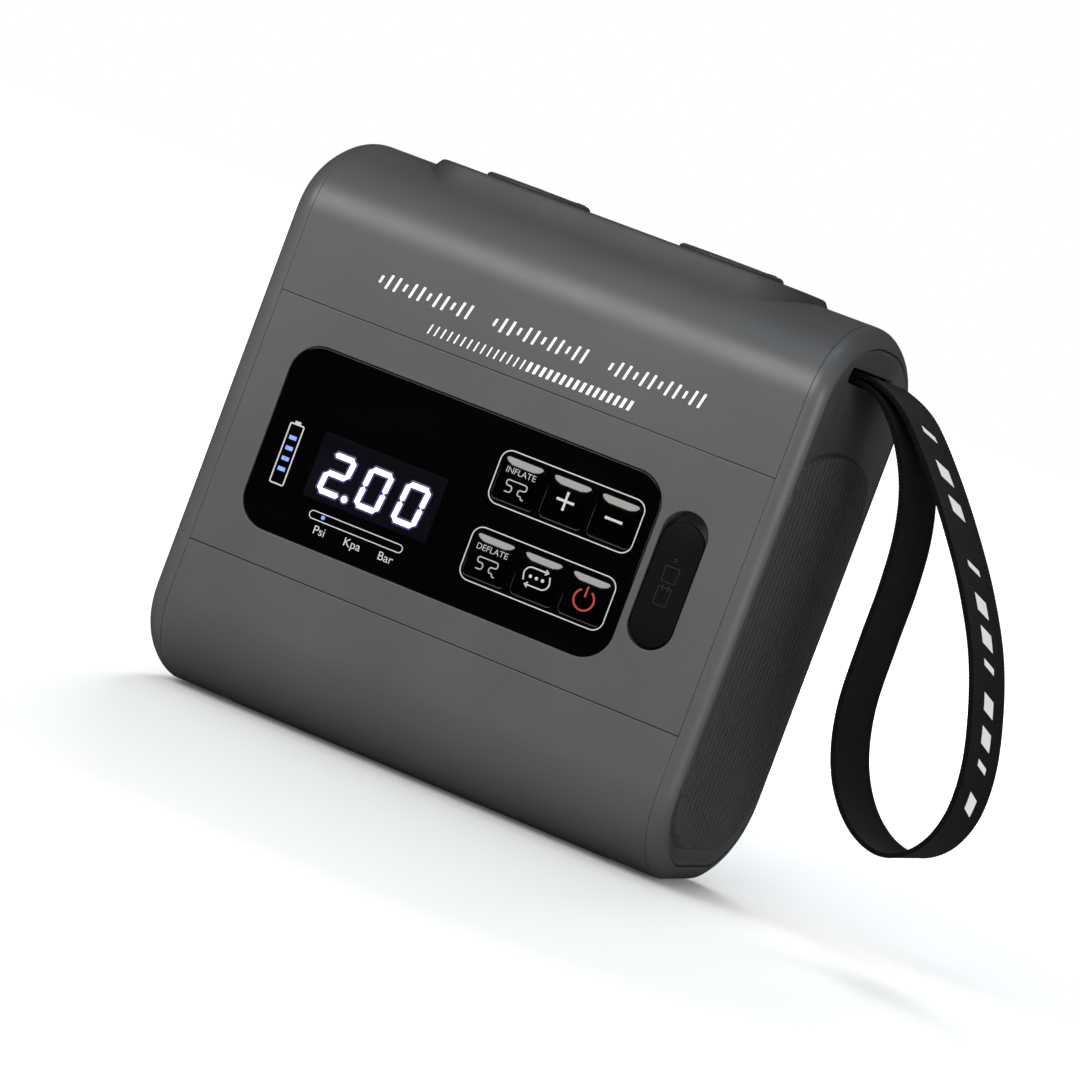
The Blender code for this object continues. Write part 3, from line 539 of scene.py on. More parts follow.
def bottom_roll(inset_y, inset_z, steps=64):
    half, drop = HALF_DEPTH - inset_y, BOTTOM_ROLL_DROP - inset_z
    flat = FLAT_BASE_Z + inset_z
    return [(-y, max(BOTTOM_ROLL_Z - z, flat)) for y, z in roll(half, drop, steps)]


def body_outline(inset_y, inset_z):
    """The body's closed outline seen along X, moved in by its insets."""
    return top_roll(inset_y, inset_z) + bottom_roll(inset_y, inset_z)


def build_shells():
    inner = HALF_DEPTH - WALL
    high, low = UPPER_SEAM_Z + SEAM / 2, LOWER_SEAM_Z - SEAM / 2
    outlines = {
        "top_shell": ([(-HALF_DEPTH, high), *top_roll(0, 0), (HALF_DEPTH, high)],
                      [(-inner, high), *top_roll(WALL, WALL), (inner, high)]),
        "bottom_shell": ([(HALF_DEPTH, low), *bottom_roll(0, 0), (-HALF_DEPTH, low)],
                         [(inner, low), *bottom_roll(WALL, WALL), (-inner, low)]),
    }
    for name, (outer, inside) in outlines.items():
        bm = drawn_along(outer + inside[::-1], "X", -HALF_LENGTH, HALF_LENGTH)
        shell = add(f"{name}_skin", bm, BODY, replaces=[name])
        if name == "top_shell":
            for side in (-1, 1):
                hole = drawn_along(circle(side * PORT_X, 0, SHELL_BORE_RADIUS), "Z", 150, 180)
                cut(shell, hole)
        else:
            recess = rounded(0, 0, 130.6, 22.6, 5.3)
            cut(shell, drawn_along(recess, "Z", -2, 1.8))
        bevel(shell, 0.22, 2)


def build_front_and_rear():
    low, high = LOWER_SEAM_Z + SEAM / 2, UPPER_SEAM_Z - SEAM / 2
    wall = rounded(0, (low + high) / 2, 2 * HALF_LENGTH, high - low, 0.3, 3)
    opening = rounded(*PANEL_CENTRE, PANEL_SIZE[0] + 2 * GAP, PANEL_SIZE[1] + 2 * GAP, PANEL_RADIUS + GAP)
    recess = obround(CHARGE_X, CHARGE_LOW_Z, CHARGE_HIGH_Z, CHARGE_HALF_WIDTH)
    face = HALF_DEPTH
    bm = plate([wall, opening, recess], "front", face - SIDE_WALL, face, 0.22)
    front = add("front_panel_skin", bm, BODY,
                replaces=["front_panel"])
    flat_fronts(front.data)
    seats = [circle(-x, z, 3.0, 40) for x, z in SCREW_PLACES]
    shanks = [circle(-x, z, 1.7, 24) for x, z in SCREW_PLACES]
    seat_level = face - 1.4
    bm = joined([plate([wall, *seats], "rear", seat_level, face, 0.22),
                 plate([wall, *shanks], "rear", face - SIDE_WALL, seat_level, 0.02)])
    rear = add("rear_panel_skin", bm, BODY, replaces=["rear_panel"])
    flat_fronts(rear.data)
    for number, (x, z) in enumerate(SCREW_PLACES, 1):
        build_screw(f"case_screw_{number}", x, z)


def build_screw(name, x, z):
    """A pan head with a cross recess, on its shank."""
    head = [(1.9, 0), (2.6, -0.25), (2.6, -1.0), (1.25, -1.0), (1.25, -9)]
    bm = turned([(0, 0), *filleted(head, 0.3), (0, -9)], (0, 0, 0), 48)
    screw = add(f"{name}_head", bm, STEEL, body=None, replaces=[name])
    long, wide, deep = 1.5, 0.32, 0.6
    cross = joined([block((-long, -wide, -deep), (long, wide, 1)),
                    block((-wide, -long, -deep), (wide, long, 1))])
    cut(screw, cross)
    screw.modifiers[-1].use_self = True
    applied(screw)
    place = Matrix.Translation((x * MM, SCREW_FACE_Y * MM, z * MM))
    screw.data.transform(place @ Matrix.Rotation(-math.pi / 2, 4, "X"))
    screw.data.update()
    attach(screw, "root")


def build_base_pad():
    """A rubber foot along the underside, with lengthwise grip ribs."""
    ribs = [plate([rounded(0, y, 124, 1.6, 0.79, 6)], "up", 0.0, 0.7, 0.2) for y in (-8, -4, 0, 4, 8)]
    sheet = plate([rounded(0, 0, 130, 22, 5)], "up", 0.45, 1.5, 0.2)
    add("base_pad_skin", joined([sheet, *ribs]), RUBBER,
        replaces=["base_pad"])


# ---------------------------------------------------------------- ends

# Rim ring and dished end panel as (x, inset in y, inset in z) from the body's outline
RING_SECTION = [
    (77.87, 0.22, 0.22), (78.05, 0.04, 0.04), (78.5, 0.03, 0.06), (79.3, 0.12, 0.28), (80.2, 0.33, 0.75),
    (81.1, 0.7, 1.5), (81.9, 1.12, 2.35), (82.6, 1.65, 3.3), (83.05, 2.15, 4.25), (83.2, 2.45, 4.8),
    (83.17, 2.68, 5.08), (83.02, 2.84, 5.24), (82.8, 2.9, 5.3), (78.8, 2.9, 5.3), (78.8, 6.0, 8.4),
    (77.87, 6.0, 8.4),
]
DISH_SECTION = [
    (79.1, 3.2, 5.6), (82.5, 3.2, 5.6), (82.8, 3.27, 5.67), (82.95, 3.45, 5.85), (82.95, 3.85, 6.25),
    (82.77, 4.5, 6.75), (82.42, 5.4, 7.3), (82.02, 6.3, 8.0), (81.72, 7.2, 8.8), (81.52, 8.2, 9.8),
    (81.4, 9.4, 11.0),
]


def insert_span(y):
    """Lowest and highest Z of the fluted insert at a distance y from its middle."""
    over = max(0.0, abs(y) - (INSERT_HALF_WIDTH - INSERT_BOTTOM_RADIUS))
    low = INSERT_LOW_Z + INSERT_BOTTOM_RADIUS - math.sqrt(max(INSERT_BOTTOM_RADIUS**2 - over**2, 0.0))
    if abs(y) < ARCH_HALF_WIDTH:
        return low, ARCH_FOOT_Z + (INSERT_HIGH_Z - ARCH_FOOT_Z) * math.sqrt(1 - (y / ARCH_HALF_WIDTH) ** 2)
    out = (abs(y) - ARCH_HALF_WIDTH) / (INSERT_HALF_WIDTH - ARCH_HALF_WIDTH)
    return low, ARCH_FOOT_Z - SHOULDER_STEP - SHOULDER_FALL * out


def insert_face(y, z):
    """X of the insert's face: bowed, and standing higher below its arched top."""
    t = min(1.0, max(0.0, (SHOULDER_TOP_Z - z) / SHOULDER_BLEND))
    t = t * t * (3 - 2 * t)
    bow = (INSERT_BOW - SHOULDER_BOW_LOSS * t) * (1 - (y / INSERT_HALF_WIDTH) ** 2)
    return INSERT_ARCH_X + INSERT_SHOULDER_RISE * t + bow


def fluted_insert(side):
    """A gently bowed plate of upright half-round flutes."""
    samples = FLUTES * FLUTE_SAMPLES
    middle = [0.03 + 0.94 * i / 30 for i in range(31)]
    fractions = [0.0, 0.003, 0.008, 0.016, *middle, 0.984, 0.992, 0.997, 1.0]
    bm = bmesh.new()
    columns = []
    for i in range(samples + 1):
        y = INSERT_HALF_WIDTH * (2 * i / samples - 1)
        low, high = insert_span(y)
        phase = (i / FLUTE_SAMPLES) % 1.0
        flute = math.sqrt(max(0.0, 1 - (2 * phase - 1) ** 2)) * FLUTE_DEPTH
        column = [bm.verts.new((side * INSERT_BASE_X, y, low))]
        for part in fractions:
            z = low + part * (high - low)
            edge = min(part, 1 - part) * (high - low)
            ease = min(1.0, 0.15 + math.sqrt(min(1.0, edge / 0.9)) * 0.85)
            x = INSERT_BASE_X + (insert_face(y, z) + flute - INSERT_BASE_X) * ease
            column.append(bm.verts.new((side * x, y, z)))
        column.append(bm.verts.new((side * INSERT_BASE_X, y, high)))
        columns.append(column)
    for one, other in zip(columns, columns[1:]):
        for j in range(len(one) - 1):
            bm.faces.new((one[j], one[j + 1], other[j + 1], other[j]))
        bm.faces.new((one[-1], one[0], other[0], other[-1]))
    for column in (columns[0], columns[-1]):
        bm.faces.new(column)
    return bm


def build_end(side, label):
    """A rim ring, its dished panel and its fluted insert; side is -1 on the left and 1 on the right."""
    def rings(section):
        return [[(side * x, y, z) for y, z in body_outline(*insets)] for x, *insets in section]

    ring = loft(rings(RING_SECTION), ring=True)
    add(f"end_frame_{label}_skin", ring, BODY, replaces=[f"end_frame_{label}"])
    dish = loft(rings(DISH_SECTION))
    panel = add(f"end_panel_{label}_skin", dish, BODY, replaces=[f"end_panel_{label}"])
    if side > 0:
        slot = rounded(0, SLOT_Z, 2 * SLOT_HALF_WIDTH, 2 * SLOT_HALF_HEIGHT, 1.6, 6)
        cut(panel, drawn_along(slot, "X", 70, 90))
        bevel(panel, 0.35, 3)
    add(f"fluted_insert_{label}_skin", fluted_insert(side), INSERT,
        replaces=[f"fluted_insert_{label}"])


# ---------------------------------------------------------------- ports

# The platform as (z, half length, half depth)
PLATFORM_SECTION = [
    (150.0, 62.5, 28.2), (159.6, 62.3, 28.0), (161.0, 62.1, 27.3), (162.4, 61.8, 26.55),
    (163.8, 61.3, 25.95), (165.2, 60.7, 25.45), (166.4, 59.9, 25.1), (167.2, 59.2, 24.9),
    (167.6, 58.9, 24.65), (167.87, 58.5, 24.3), (168.0, 58.0, 23.85),
]


def platform_outline(half_length, half_depth, steps=144):
    """Straight sides with bluntly pointed ends."""
    points = []
    for i in range(steps):
        angle = 2 * math.pi * i / steps
        c, s = math.cos(angle), math.sin(angle)
        reach = 0.0
        if abs(c) > 0.001:
            reach = PLATFORM_STRAIGHT + (half_length - PLATFORM_STRAIGHT) * abs(c) ** PLATFORM_POWER
        points.append((math.copysign(reach, c), math.copysign(abs(s) ** PLATFORM_POWER, s) * half_depth))
    return points


def build_platform():
    """The raised platform over the top shell, with two bores and the hinge ears behind them."""
    sections = [[(x, y, z) for x, y in platform_outline(*halves)] for z, *halves in PLATFORM_SECTION]
    platform = add("port_platform_skin", loft(sections), PLATFORM_WITH_SHADE,
                   body=None, replaces=["port_platform"])
    cut(platform, drawn_along(body_outline(0.35, 0.35), "X", -76, 76))
    for side in (-1, 1):
        bore = drawn_along(circle(side * PORT_X, 0, PORT_BORE_RADIUS, 96), "Z", 150, 180)
        cut(platform, bore)
    applied(platform)
    platform.data.shade_smooth()
    platform.data.set_sharp_from_angle(angle=math.radians(32))
    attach(platform, "root")
    ears = []
    for side in (-1, 1):
        for ear in (-HINGE_EAR_X, HINGE_EAR_X):
            x = side * PORT_X + ear
            outline = [(HINGE_Y - 1.2, PLATFORM_TOP_Z - 0.6), (HINGE_Y + 1.3, PLATFORM_TOP_Z - 0.6),
                       *arc(HINGE_Y + 0.05, HINGE_Z - 0.35, 1.25, 0, 180, 16)]
            ears.append(drawn_along(outline, "X", x - HINGE_EAR_HALF_WIDTH, x + HINGE_EAR_HALF_WIDTH))
    add("hinge_ears", joined(ears), PLATFORM_WITH_SHADE)


def build_ports():
    """Each port's collar and seal, and the cap over them; the inflate port has the narrower lip inside."""
    for side, label, lip in ((-1, "inflate", 7.4), (1, "deflate", 9.0)):
        x = side * PORT_X
        profile = filleted([(12.0, 167.2), (13.0, 167.2), (13.0, 146.0), (lip, 146.0), (lip, 146.9),
                            (11.0, 146.9), (11.0, 167.2), (12.0, 167.2)], 0.35)
        add(f"{label}_collar_skin", turned(profile, (x, 0, 0)), INNER,
            replaces=[f"{label}_port_collar"])
        seal = filleted([(12.05, 168.1), (12.8, 168.1), (12.8, 167.4), (11.3, 167.4), (11.3, 168.1),
                         (12.05, 168.1)], 0.3)
        add(f"{label}_seal_skin", turned(seal, (x, 0, 0)), RUBBER,
            replaces=[f"{label}_seal_ring"])
        build_cap(x, label)


def build_cap(x, label):
    """A shallow lid with a soft rim, a plug skirt below, and a tab and rod in the hinge ears behind it."""
    low, top, edge = CAP_LOW_Z, CAP_TOP_Z, CAP_RADIUS
    outer = filleted([(0.5, top), (edge - 0.9, top - 0.05), (edge, top - 0.75), (edge, low), (10.5, low),
                      (10.4, low - 3.0), (9.4, low - 3.0), (9.4, low), (0.5, low)], 0.4, 5)
    disc = turned([(0, top), *outer[1:-1], (0, low)], (x, 0, 0))
    half = CAP_TAB_HALF_WIDTH
    corners = [(-half, 13.6), (half, 13.6), (half, HINGE_Y - 0.6), (-half, HINGE_Y - 0.6)]
    tab = plate([[(x + a, b) for a, b in corners]], "up", low + 0.02, top - 0.15, 0.2)
    rod = drawn_along(circle(HINGE_Y - 0.35, HINGE_Z - 0.05, 0.6, 24), "X", x - half, x + half)
    add(f"{label}_cap_skin", joined([disc, tab, rod]), PLATFORM_WITH_SHADE,
        body=f"{label}_cap", replaces=[f"{label}_cap"])


# ---------------------------------------------------------------- front panel details

def build_lens():
    """The gloss panel with an opening for each key, and the keys in them."""
    holes = [rounded(x, z, KEY_SIZE[0] + 2 * GAP, KEY_SIZE[1] + 2 * GAP, 1.5, 6)
             for x in KEY_COLUMNS for z in KEY_ROWS]
    outline = rounded(*PANEL_CENTRE, *PANEL_SIZE, PANEL_RADIUS, 16)
    bm = plate([outline, *holes], "front", -PANEL_BACK_Y, -PANEL_FACE_Y, 0.2)
    lens = add("control_lens_skin", bm, LENS, replaces=["control_lens"])
    flat_fronts(lens.data)
    for row, names in zip(KEY_ROWS, KEY_NAMES):
        for column, name in zip(KEY_COLUMNS, names):
            build_key(name, column, row)


def key_rise(u, v):
    """How far a key's crowned face stands forward of its rim; u and v run from -1 to 1."""
    return KEY_RISE * max(0.0, 1 - abs(u) ** KEY_CROWN_POWER) * max(0.0, 1 - abs(v) ** KEY_CROWN_POWER)


def build_key(name, column, row):
    """A crowned key cap on its stem."""
    width, height = KEY_SIZE
    rim = rounded(0, 0, width, height, KEY_RADIUS, 6)
    loops = [[(column + a, y, row + b) for a, b in rim] for y in (-40.7, KEY_RIM_Y)]
    rings = 14
    for k in range(1, rings):
        t = math.cos(math.pi / 2 * k / rings) if k > 1 else 0.992
        loops.append([
            (column + a * t, KEY_RIM_Y - key_rise(2 * a * t / width, 2 * b * t / height), row + b * t)
            for a, b in rim
        ])
    cap = loft(loops)
    stem = drawn_along(circle(column, row, 1.9, 24), "Y", -40.9, -36.5)
    add(f"{name}_cap", joined([cap, stem]), KEY, body=name, replaces=[name])
    draw, ink = LEGENDS[name]
    legend(name, draw(), ink, column, row)


def legend(name, bm, finish, column, row):
    """Lays painted lines on a key's crowned face."""
    width, height = KEY_SIZE
    for vert in bm.verts:
        u, v = 2 * vert.co.x / width, 2 * vert.co.z / height
        vert.co.y += KEY_RIM_Y - key_rise(u, v) - 0.01
    bmesh.ops.translate(bm, verts=bm.verts, vec=(column, 0, row))
    add(f"{name}_legend", bm, finish, body=name)


def air_symbol(word):
    """A word over two curled air streams."""
    left = filleted([(-0.5, 1.5), (-2.7, 1.5), (-2.7, 0.1), (-0.9, 0.1), (-0.9, -1.6), (-2.6, -1.6)], 0.75)
    right = filleted([(-0.5, 1.5), (2.8, 1.5), (2.8, -0.1), (0.9, -0.1), (0.9, -1.6), (2.0, -1.6),
                      (2.0, -2.3), (2.8, -2.3)], 0.75)
    streams = [[(a * 1.15, b * 1.1 - 1.7) for a, b in side] for side in (left, right)]
    return joined([strokes(streams, 0.36, "front", 0), lettering(word, 2.5, (0, 2.5), "front", 0)])


def mode_symbol():
    """Three dots inside a pair of chasing arrows."""
    upper = [(-3.6, -1.6), *arc(-2.0, 0.4, 2.1, 195, 90, 10), (2.4, 2.5)]
    lower = [(3.6, 1.6), *arc(2.0, -0.4, 2.1, 15, -90, 10), (-2.4, -2.5)]
    heads = [[(1.9, 3.2), (2.9, 2.5), (1.9, 1.8)], [(-1.9, -1.8), (-2.9, -2.5), (-1.9, -3.2)]]
    dots = [plate([circle(x, 0, 0.5, 16)], "front", -0.02, 0.02, 0.005) for x in (-1.9, 0, 1.9)]
    return joined([strokes([upper, lower, *heads], 0.4, "front", 0), *dots])


ACROSS, UPRIGHT = [(-2.7, 0), (2.7, 0)], [(0, -2.7), (0, 2.7)]
POWER_LINES = [arc(0, -0.6, 3.0, 122, 418, 40), [(0, 0.2), (0, 3.3)]]
LEGENDS = {
    "inflate_key": (lambda: air_symbol("INFLATE"), GREY_INK),
    "deflate_key": (lambda: air_symbol("DEFLATE"), GREY_INK),
    "plus_key": (lambda: strokes([ACROSS, UPRIGHT], 0.8, "front", 0), PANEL_INK),
    "minus_key": (lambda: strokes([ACROSS], 0.8, "front", 0), PANEL_INK),
    "mode_key": (mode_symbol, PANEL_INK),
    "power_key": (lambda: strokes(POWER_LINES, 0.58, "front", 0), RED_INK),
}

# Each digit's segment lines are DIGIT_SIZE wide and high and lean right; its seven segments are named a to g
DIGIT_SIZE, DIGIT_LEAN, SEGMENT_WIDTH = (6.3, 10.9), 0.11, 1.5
DIGIT_LOW_Z, DIGIT_POINT_X, DIGIT_POINT_RADIUS = 68.5, -37.9, 0.95
SHOWN_DIGITS = (("abged", -45.6), ("abcdef", -33.6), ("abcdef", -21.7))
BATTERY_X, CHARGE_BAR_Z = -58.9, (70.0, 73.1, 76.2, 79.3)
UNIT_SLIDER_X, UNIT_SLIDER_Z, UNIT_DOT, UNIT_Z = -31.3, 61.4, (-41.9, 61.5), 57.5
UNITS = (("Psi", -41.6), ("Kpa", -31.0), ("Bar", -20.3))
SEGMENTS = {
    "a": ((0, 1), (1, 1)), "b": ((1, 1), (1, 0.5)), "c": ((1, 0.5), (1, 0)), "d": ((0, 0), (1, 0)),
    "e": ((0, 0.5), (0, 0)), "f": ((0, 1), (0, 0.5)), "g": ((0, 0.5), (1, 0.5)),
}


def digit(segments, x, z, grow):
    """The lit segments of one digit, each a flat bar with pointed ends."""
    width, height = DIGIT_SIZE
    bars = []
    for key in segments:
        (x0, z0), (x1, z1) = SEGMENTS[key]
        start = Vector((x0 * width, z0 * height))
        end = Vector((x1 * width, z1 * height))
        along = (end - start).normalized()
        across = Vector((-along.y, along.x)) * (SEGMENT_WIDTH / 2 + grow)
        tip = along * across.length * 0.8
        start, end = start + along * (0.05 - grow * 1.3), end - along * (0.05 - grow * 1.3)
        bar = [start, start + across + tip, end + across - tip, end, end - across - tip, start - across + tip]
        bars.append([(x + p.x + (p.y - height / 2) * DIGIT_LEAN, z + p.y) for p in bar])
    return bars


def build_display():
    """What is lit or printed on the gloss panel, apart from the keys."""
    face = -PANEL_FACE_Y
    window = plate([rounded(-30.45, 74.95, 39.5, 18.9, 0.5, 4)], "front", face - 0.05, face + 0.02, 0.01)
    add("display_window", window, WINDOW)
    layers = (("display_digits", DIGITS, 0.0, 0.075), ("display_glow", HALO, 0.25, 0.055),
              ("display_outer_glow", OUTER_HALO, 0.6, 0.035))
    for name, finish, grow, lift in layers:
        bars = [bar for segments, x in SHOWN_DIGITS for bar in digit(segments, x, DIGIT_LOW_Z, grow)]
        bars.append(circle(DIGIT_POINT_X, DIGIT_LOW_Z, DIGIT_POINT_RADIUS + grow, 24))
        parts = [plate([bar], "front", face + 0.01, face + lift, 0.004) for bar in bars]
        add(name, joined(parts), finish)

    line = strokes([rounded(BATTERY_X, 74.4, 4.3, 17.6, 0.35, 3)], 0.42, "front", face, cyclic=True)
    cap = plate([rounded(BATTERY_X, 83.75, 1.9, 0.8, 0.2, 3)], "front", face, face + 0.05, 0.01)
    add("battery_outline", joined([line, cap]), PANEL_INK)
    bars = [plate([rounded(BATTERY_X, z, 2.3, 1.15, 0.15, 3)], "front", face, face + 0.05, 0.01)
            for z in CHARGE_BAR_Z]
    dot = plate([circle(*UNIT_DOT, 0.6, 20)], "front", face, face + 0.06, 0.01)
    add("charge_bars", joined([*bars, dot]), BLUE_LIGHT)

    slider = rounded(UNIT_SLIDER_X, UNIT_SLIDER_Z, 29.8, 2.3, 1.14, 8)
    lines = [strokes([slider], 0.3, "front", face, cyclic=True)]
    for z in (90.8, 68.1):
        group = rounded(KEY_GROUP_X, z, *KEY_GROUP_SIZE, KEY_GROUP_RADIUS, 8)
        lines.append(strokes([group], 0.34, "front", face, cyclic=True))
    for word, x in UNITS:
        lines.append(lettering(word, 3.5, (x, UNIT_Z), "front", face + 0.01))
    add("panel_legends", joined(lines), PANEL_INK)


def build_shell_graphic():
    """Two plain rows of slanted ticks printed above the panel."""
    def tick(x, z, width, height):
        lean = height * 0.12
        corners = ((-1, -1), (1, -1), (1, 1), (-1, 1))
        return [(x + sx * width / 2 + sz * lean, z + sz * height / 2) for sx, sz in corners]

    face = HALF_DEPTH
    ticks = []
    for group in (-36.4, 0.0, 36.4):
        ticks += [tick(group + 2.55 * (i - 5.5), 130.0, 0.75, 4.3 if i % 3 else 2.2) for i in range(12)]
    ticks += [tick(-31.5 + 2.1 * i, 121.8, 0.45 if i < 15 else 0.95, 2.9) for i in range(31)]
    parts = [plate([t], "front", face - 0.04, face + 0.03, 0.005) for t in ticks]
    add("shell_graphic", joined(parts), WHITE_INK)


def build_charging():
    """The charging pocket with its two sockets, and the rubber flap that closes it."""
    cavity = obround(CHARGE_X, CHARGE_LOW_Z, CHARGE_HIGH_Z, CHARGE_HALF_WIDTH)
    outer = obround(CHARGE_X, CHARGE_LOW_Z - 1.5, CHARGE_HIGH_Z + 1.5, CHARGE_HALF_WIDTH + 1.5)
    pocket = joined([plate([outer, cavity], "front", 33.0, 39.6, 0.1),
                     plate([outer], "front", 31.5, 33.0, 0.1)])
    add("charging_pocket_skin", pocket, BODY, replaces=["charging_pocket"])
    add("usb_c_shell", usb_socket(), STEEL, replaces=["usb_c_socket"])
    tongue = plate([rounded(CHARGE_X, 88, 0.8, 6.6, 0.3, 3)], "front", 33.2, 38.0, 0.1)
    pin = plate([circle(CHARGE_X, 73, 0.9, 24)], "front", 33.2, 37.8, 0.3)
    jack = plate([circle(CHARGE_X, 73, 4.6, 48), circle(CHARGE_X, 73, 2.8, 40)], "front", 33.3, 38.4, 0.2)
    add("dc_jack_shell", jack, LENS, replaces=["dc_jack"])
    add("usb_tongue", tongue, INNER)
    add("jack_pin", pin, STEEL)

    low, high, half = CHARGE_LOW_Z + 0.6, CHARGE_HIGH_Z - 3.1, CHARGE_HALF_WIDTH - GAP
    flap = plate([obround(CHARGE_X, low, high, half)], "front", 40.0, 41.5, 0.45)
    add("charging_flap_skin", flap, RUBBER, body="charging_flap",
        replaces=["charging_flap"])
    x = CHARGE_X
    plug = [[(x - 2.0, 84.6), (x - 2.0, 80.2), (x + 2.2, 80.2), (x + 2.2, 84.6)],
            [(x - 0.2, 86.4), (x + 0.6, 86.4)], [(x - 0.2, 87.0), (x + 0.6, 87.0)],
            [(x - 2.0, 78.6), (x - 2.0, 73.6), (x + 1.9, 73.6), (x + 1.9, 78.6)],
            [(x - 0.8, 79.4), (x - 0.8, 77.6)], [(x + 0.8, 79.4), (x + 0.8, 77.6)]]
    closed = strokes([plug[0], plug[3]], 0.3, "front", 41.49, cyclic=True)
    marks = strokes([plug[1], plug[2], plug[4], plug[5]], 0.3, "front", 41.49)
    add("flap_emboss", joined([closed, marks]), EMBOSS, body="charging_flap")


def usb_socket():
    outer, mouth = rounded(CHARGE_X, 88, 3.6, 9.4, 1.7, 8), rounded(CHARGE_X, 88, 2.8, 8.6, 1.3, 8)
    return joined([plate([outer, mouth], "front", 34.0, 38.4, 0.12),
                   plate([outer], "front", 33.3, 34.0, 0.1)])


# ---------------------------------------------------------------- strap

# The strap's route in (x, z), out of the slot, round the loop and back
STRAP_KNOTS = [
    (79.6, 151.85), (81.2, 151.85), (88, 151.35), (98, 146.5), (110, 134.5), (122, 120), (132, 106),
    (140.5, 91), (146.5, 75), (150, 60), (150, 47), (146, 37), (138.5, 31.5), (130, 32.5), (121.5, 39),
    (114.8, 50), (111, 65), (110.2, 84), (110, 100), (108.6, 115), (105, 128), (98.5, 139.5),
    (91.5, 146.8), (86, 149.45), (81.2, 150.15), (79.6, 150.15),
]


def strap_line():
    """The strap's centre line in (x, z), with its length so far, as evenly spaced points."""
    knots = [Vector(p) for p in STRAP_KNOTS]
    knots = [2 * knots[0] - knots[1], *knots, 2 * knots[-1] - knots[-2]]
    fine = []
    for a, b, c, d in zip(knots, knots[1:], knots[2:], knots[3:]):
        for i in range(40):
            t = i / 40
            square, cube = 2 * a - 5 * b + 4 * c - d, 3 * b - a - 3 * c + d
            fine.append(0.5 * (2 * b + (c - a) * t + square * t**2 + cube * t**3))
    fine.append(knots[-2])
    lengths = [0.0]
    for one, other in zip(fine, fine[1:]):
        lengths.append(lengths[-1] + (other - one).length)
    return fine, lengths


def strap_place(line, s):
    """Point and outward normal of the strap's centre line at a length s."""
    fine, lengths = line
    low, high = 0, len(lengths) - 1
    while high - low > 1:
        middle = (low + high) // 2
        low, high = (middle, high) if lengths[middle] <= s else (low, middle)
    span = lengths[high] - lengths[low]
    point = fine[low].lerp(fine[high], (s - lengths[low]) / span if span else 0.0)
    before, after = fine[max(low - 3, 0)], fine[min(high + 3, len(fine) - 1)]
    tangent = (after - before).normalized()
    return point, Vector((-tangent.y, tangent.x))


def build_strap():
    """One ribbed band that bends where it leaves its slot."""
    line = strap_line()
    total = line[1][-1]
    half, thick = STRAP_HALF_WIDTH, STRAP_THICKNESS / 2 - RIB_HEIGHT
    outer = [(-half + 0.45, 1), (-half + 1.6, 1.0), (-half + 2.0, 0.9), (0.0, 0.9), (half - 2.0, 0.9),
             (half - 1.6, 1.0), (half - 0.45, 1)]
    edge = [(half - 0.08, 0.6), (half, 0.0), (half - 0.08, -0.6)]
    section = [*outer, *edge, *[(y, -t) for y, t in reversed(outer)], *[(-y, -t) for y, t in edge]]
    count = int(total / RIB_PITCH) * RIB_SAMPLES
    bm = bmesh.new()
    layer = bm.loops.layers.uv.new("length")
    loops = []
    for i in range(count + 1):
        s = total * i / count
        point, normal = strap_place(line, s)
        rib = RIB_HEIGHT * abs(math.sin(math.pi * s / RIB_PITCH))
        nip = 0.06 * abs(math.cos(math.pi * s / RIB_PITCH))
        loop = []
        for y, t in section:
            offset = normal * (t * thick + math.copysign(rib, t) * (abs(t) > 0.5))
            side = y - math.copysign(nip, y) if abs(y) > half - 0.5 else y
            loop.append(bm.verts.new((point.x + offset.x, side, point.y + offset.y)))
        loops.append(loop)
    for i, (one, other) in enumerate(zip(loops, loops[1:])):
        for j in range(len(one)):
            k = (j + 1) % len(one)
            face = bm.faces.new((one[j], one[k], other[k], other[j]))
            for corner, (a, b) in zip(face.loops, ((i, j), (i, k), (i + 1, k), (i + 1, j))):
                corner[layer].uv = (total * MM * a / count, section[b][0] * MM)
    bm.faces.new(loops[0])
    bm.faces.new(reversed(loops[-1]))
    strap = add("wrist_strap_webbing", bm, WEBBING, body=None,
                replaces=["wrist_strap"])
    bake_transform(strap)
    build_strap_marks(line)


def build_strap_marks(line):
    """White slanted bars woven into the outer face, in place of any lettering."""
    marks = []
    starts = [24.5 + 10.3 * i for i in range(3)] + [64.0 + 9.2 * i for i in range(8)]
    top, low = STRAP_THICKNESS / 2 + 0.03, STRAP_THICKNESS / 2 - 0.09
    for number, start in enumerate(starts):
        length = MARK_LENGTH if number % 3 else THIN_MARK_LENGTH
        rows = []
        for i in range(17):
            row = {}
            for side in (-1, 0, 1):
                point, normal = strap_place(line, start + length * i / 16 + side * MARK_LEAN)
                for level in (top, low):
                    place = point + normal * level
                    row[side, level] = (place.x, side * MARK_HALF_WIDTH, place.y)
            rows.append([row[-1, top], row[0, top], row[1, top], row[1, low], row[0, low], row[-1, low]])
        marks.append(loft(rows))
    add("strap_marks", joined(marks), WHITE_INK, body="wrist_strap")


# ---------------------------------------------------------------- carried-over CAD nodes

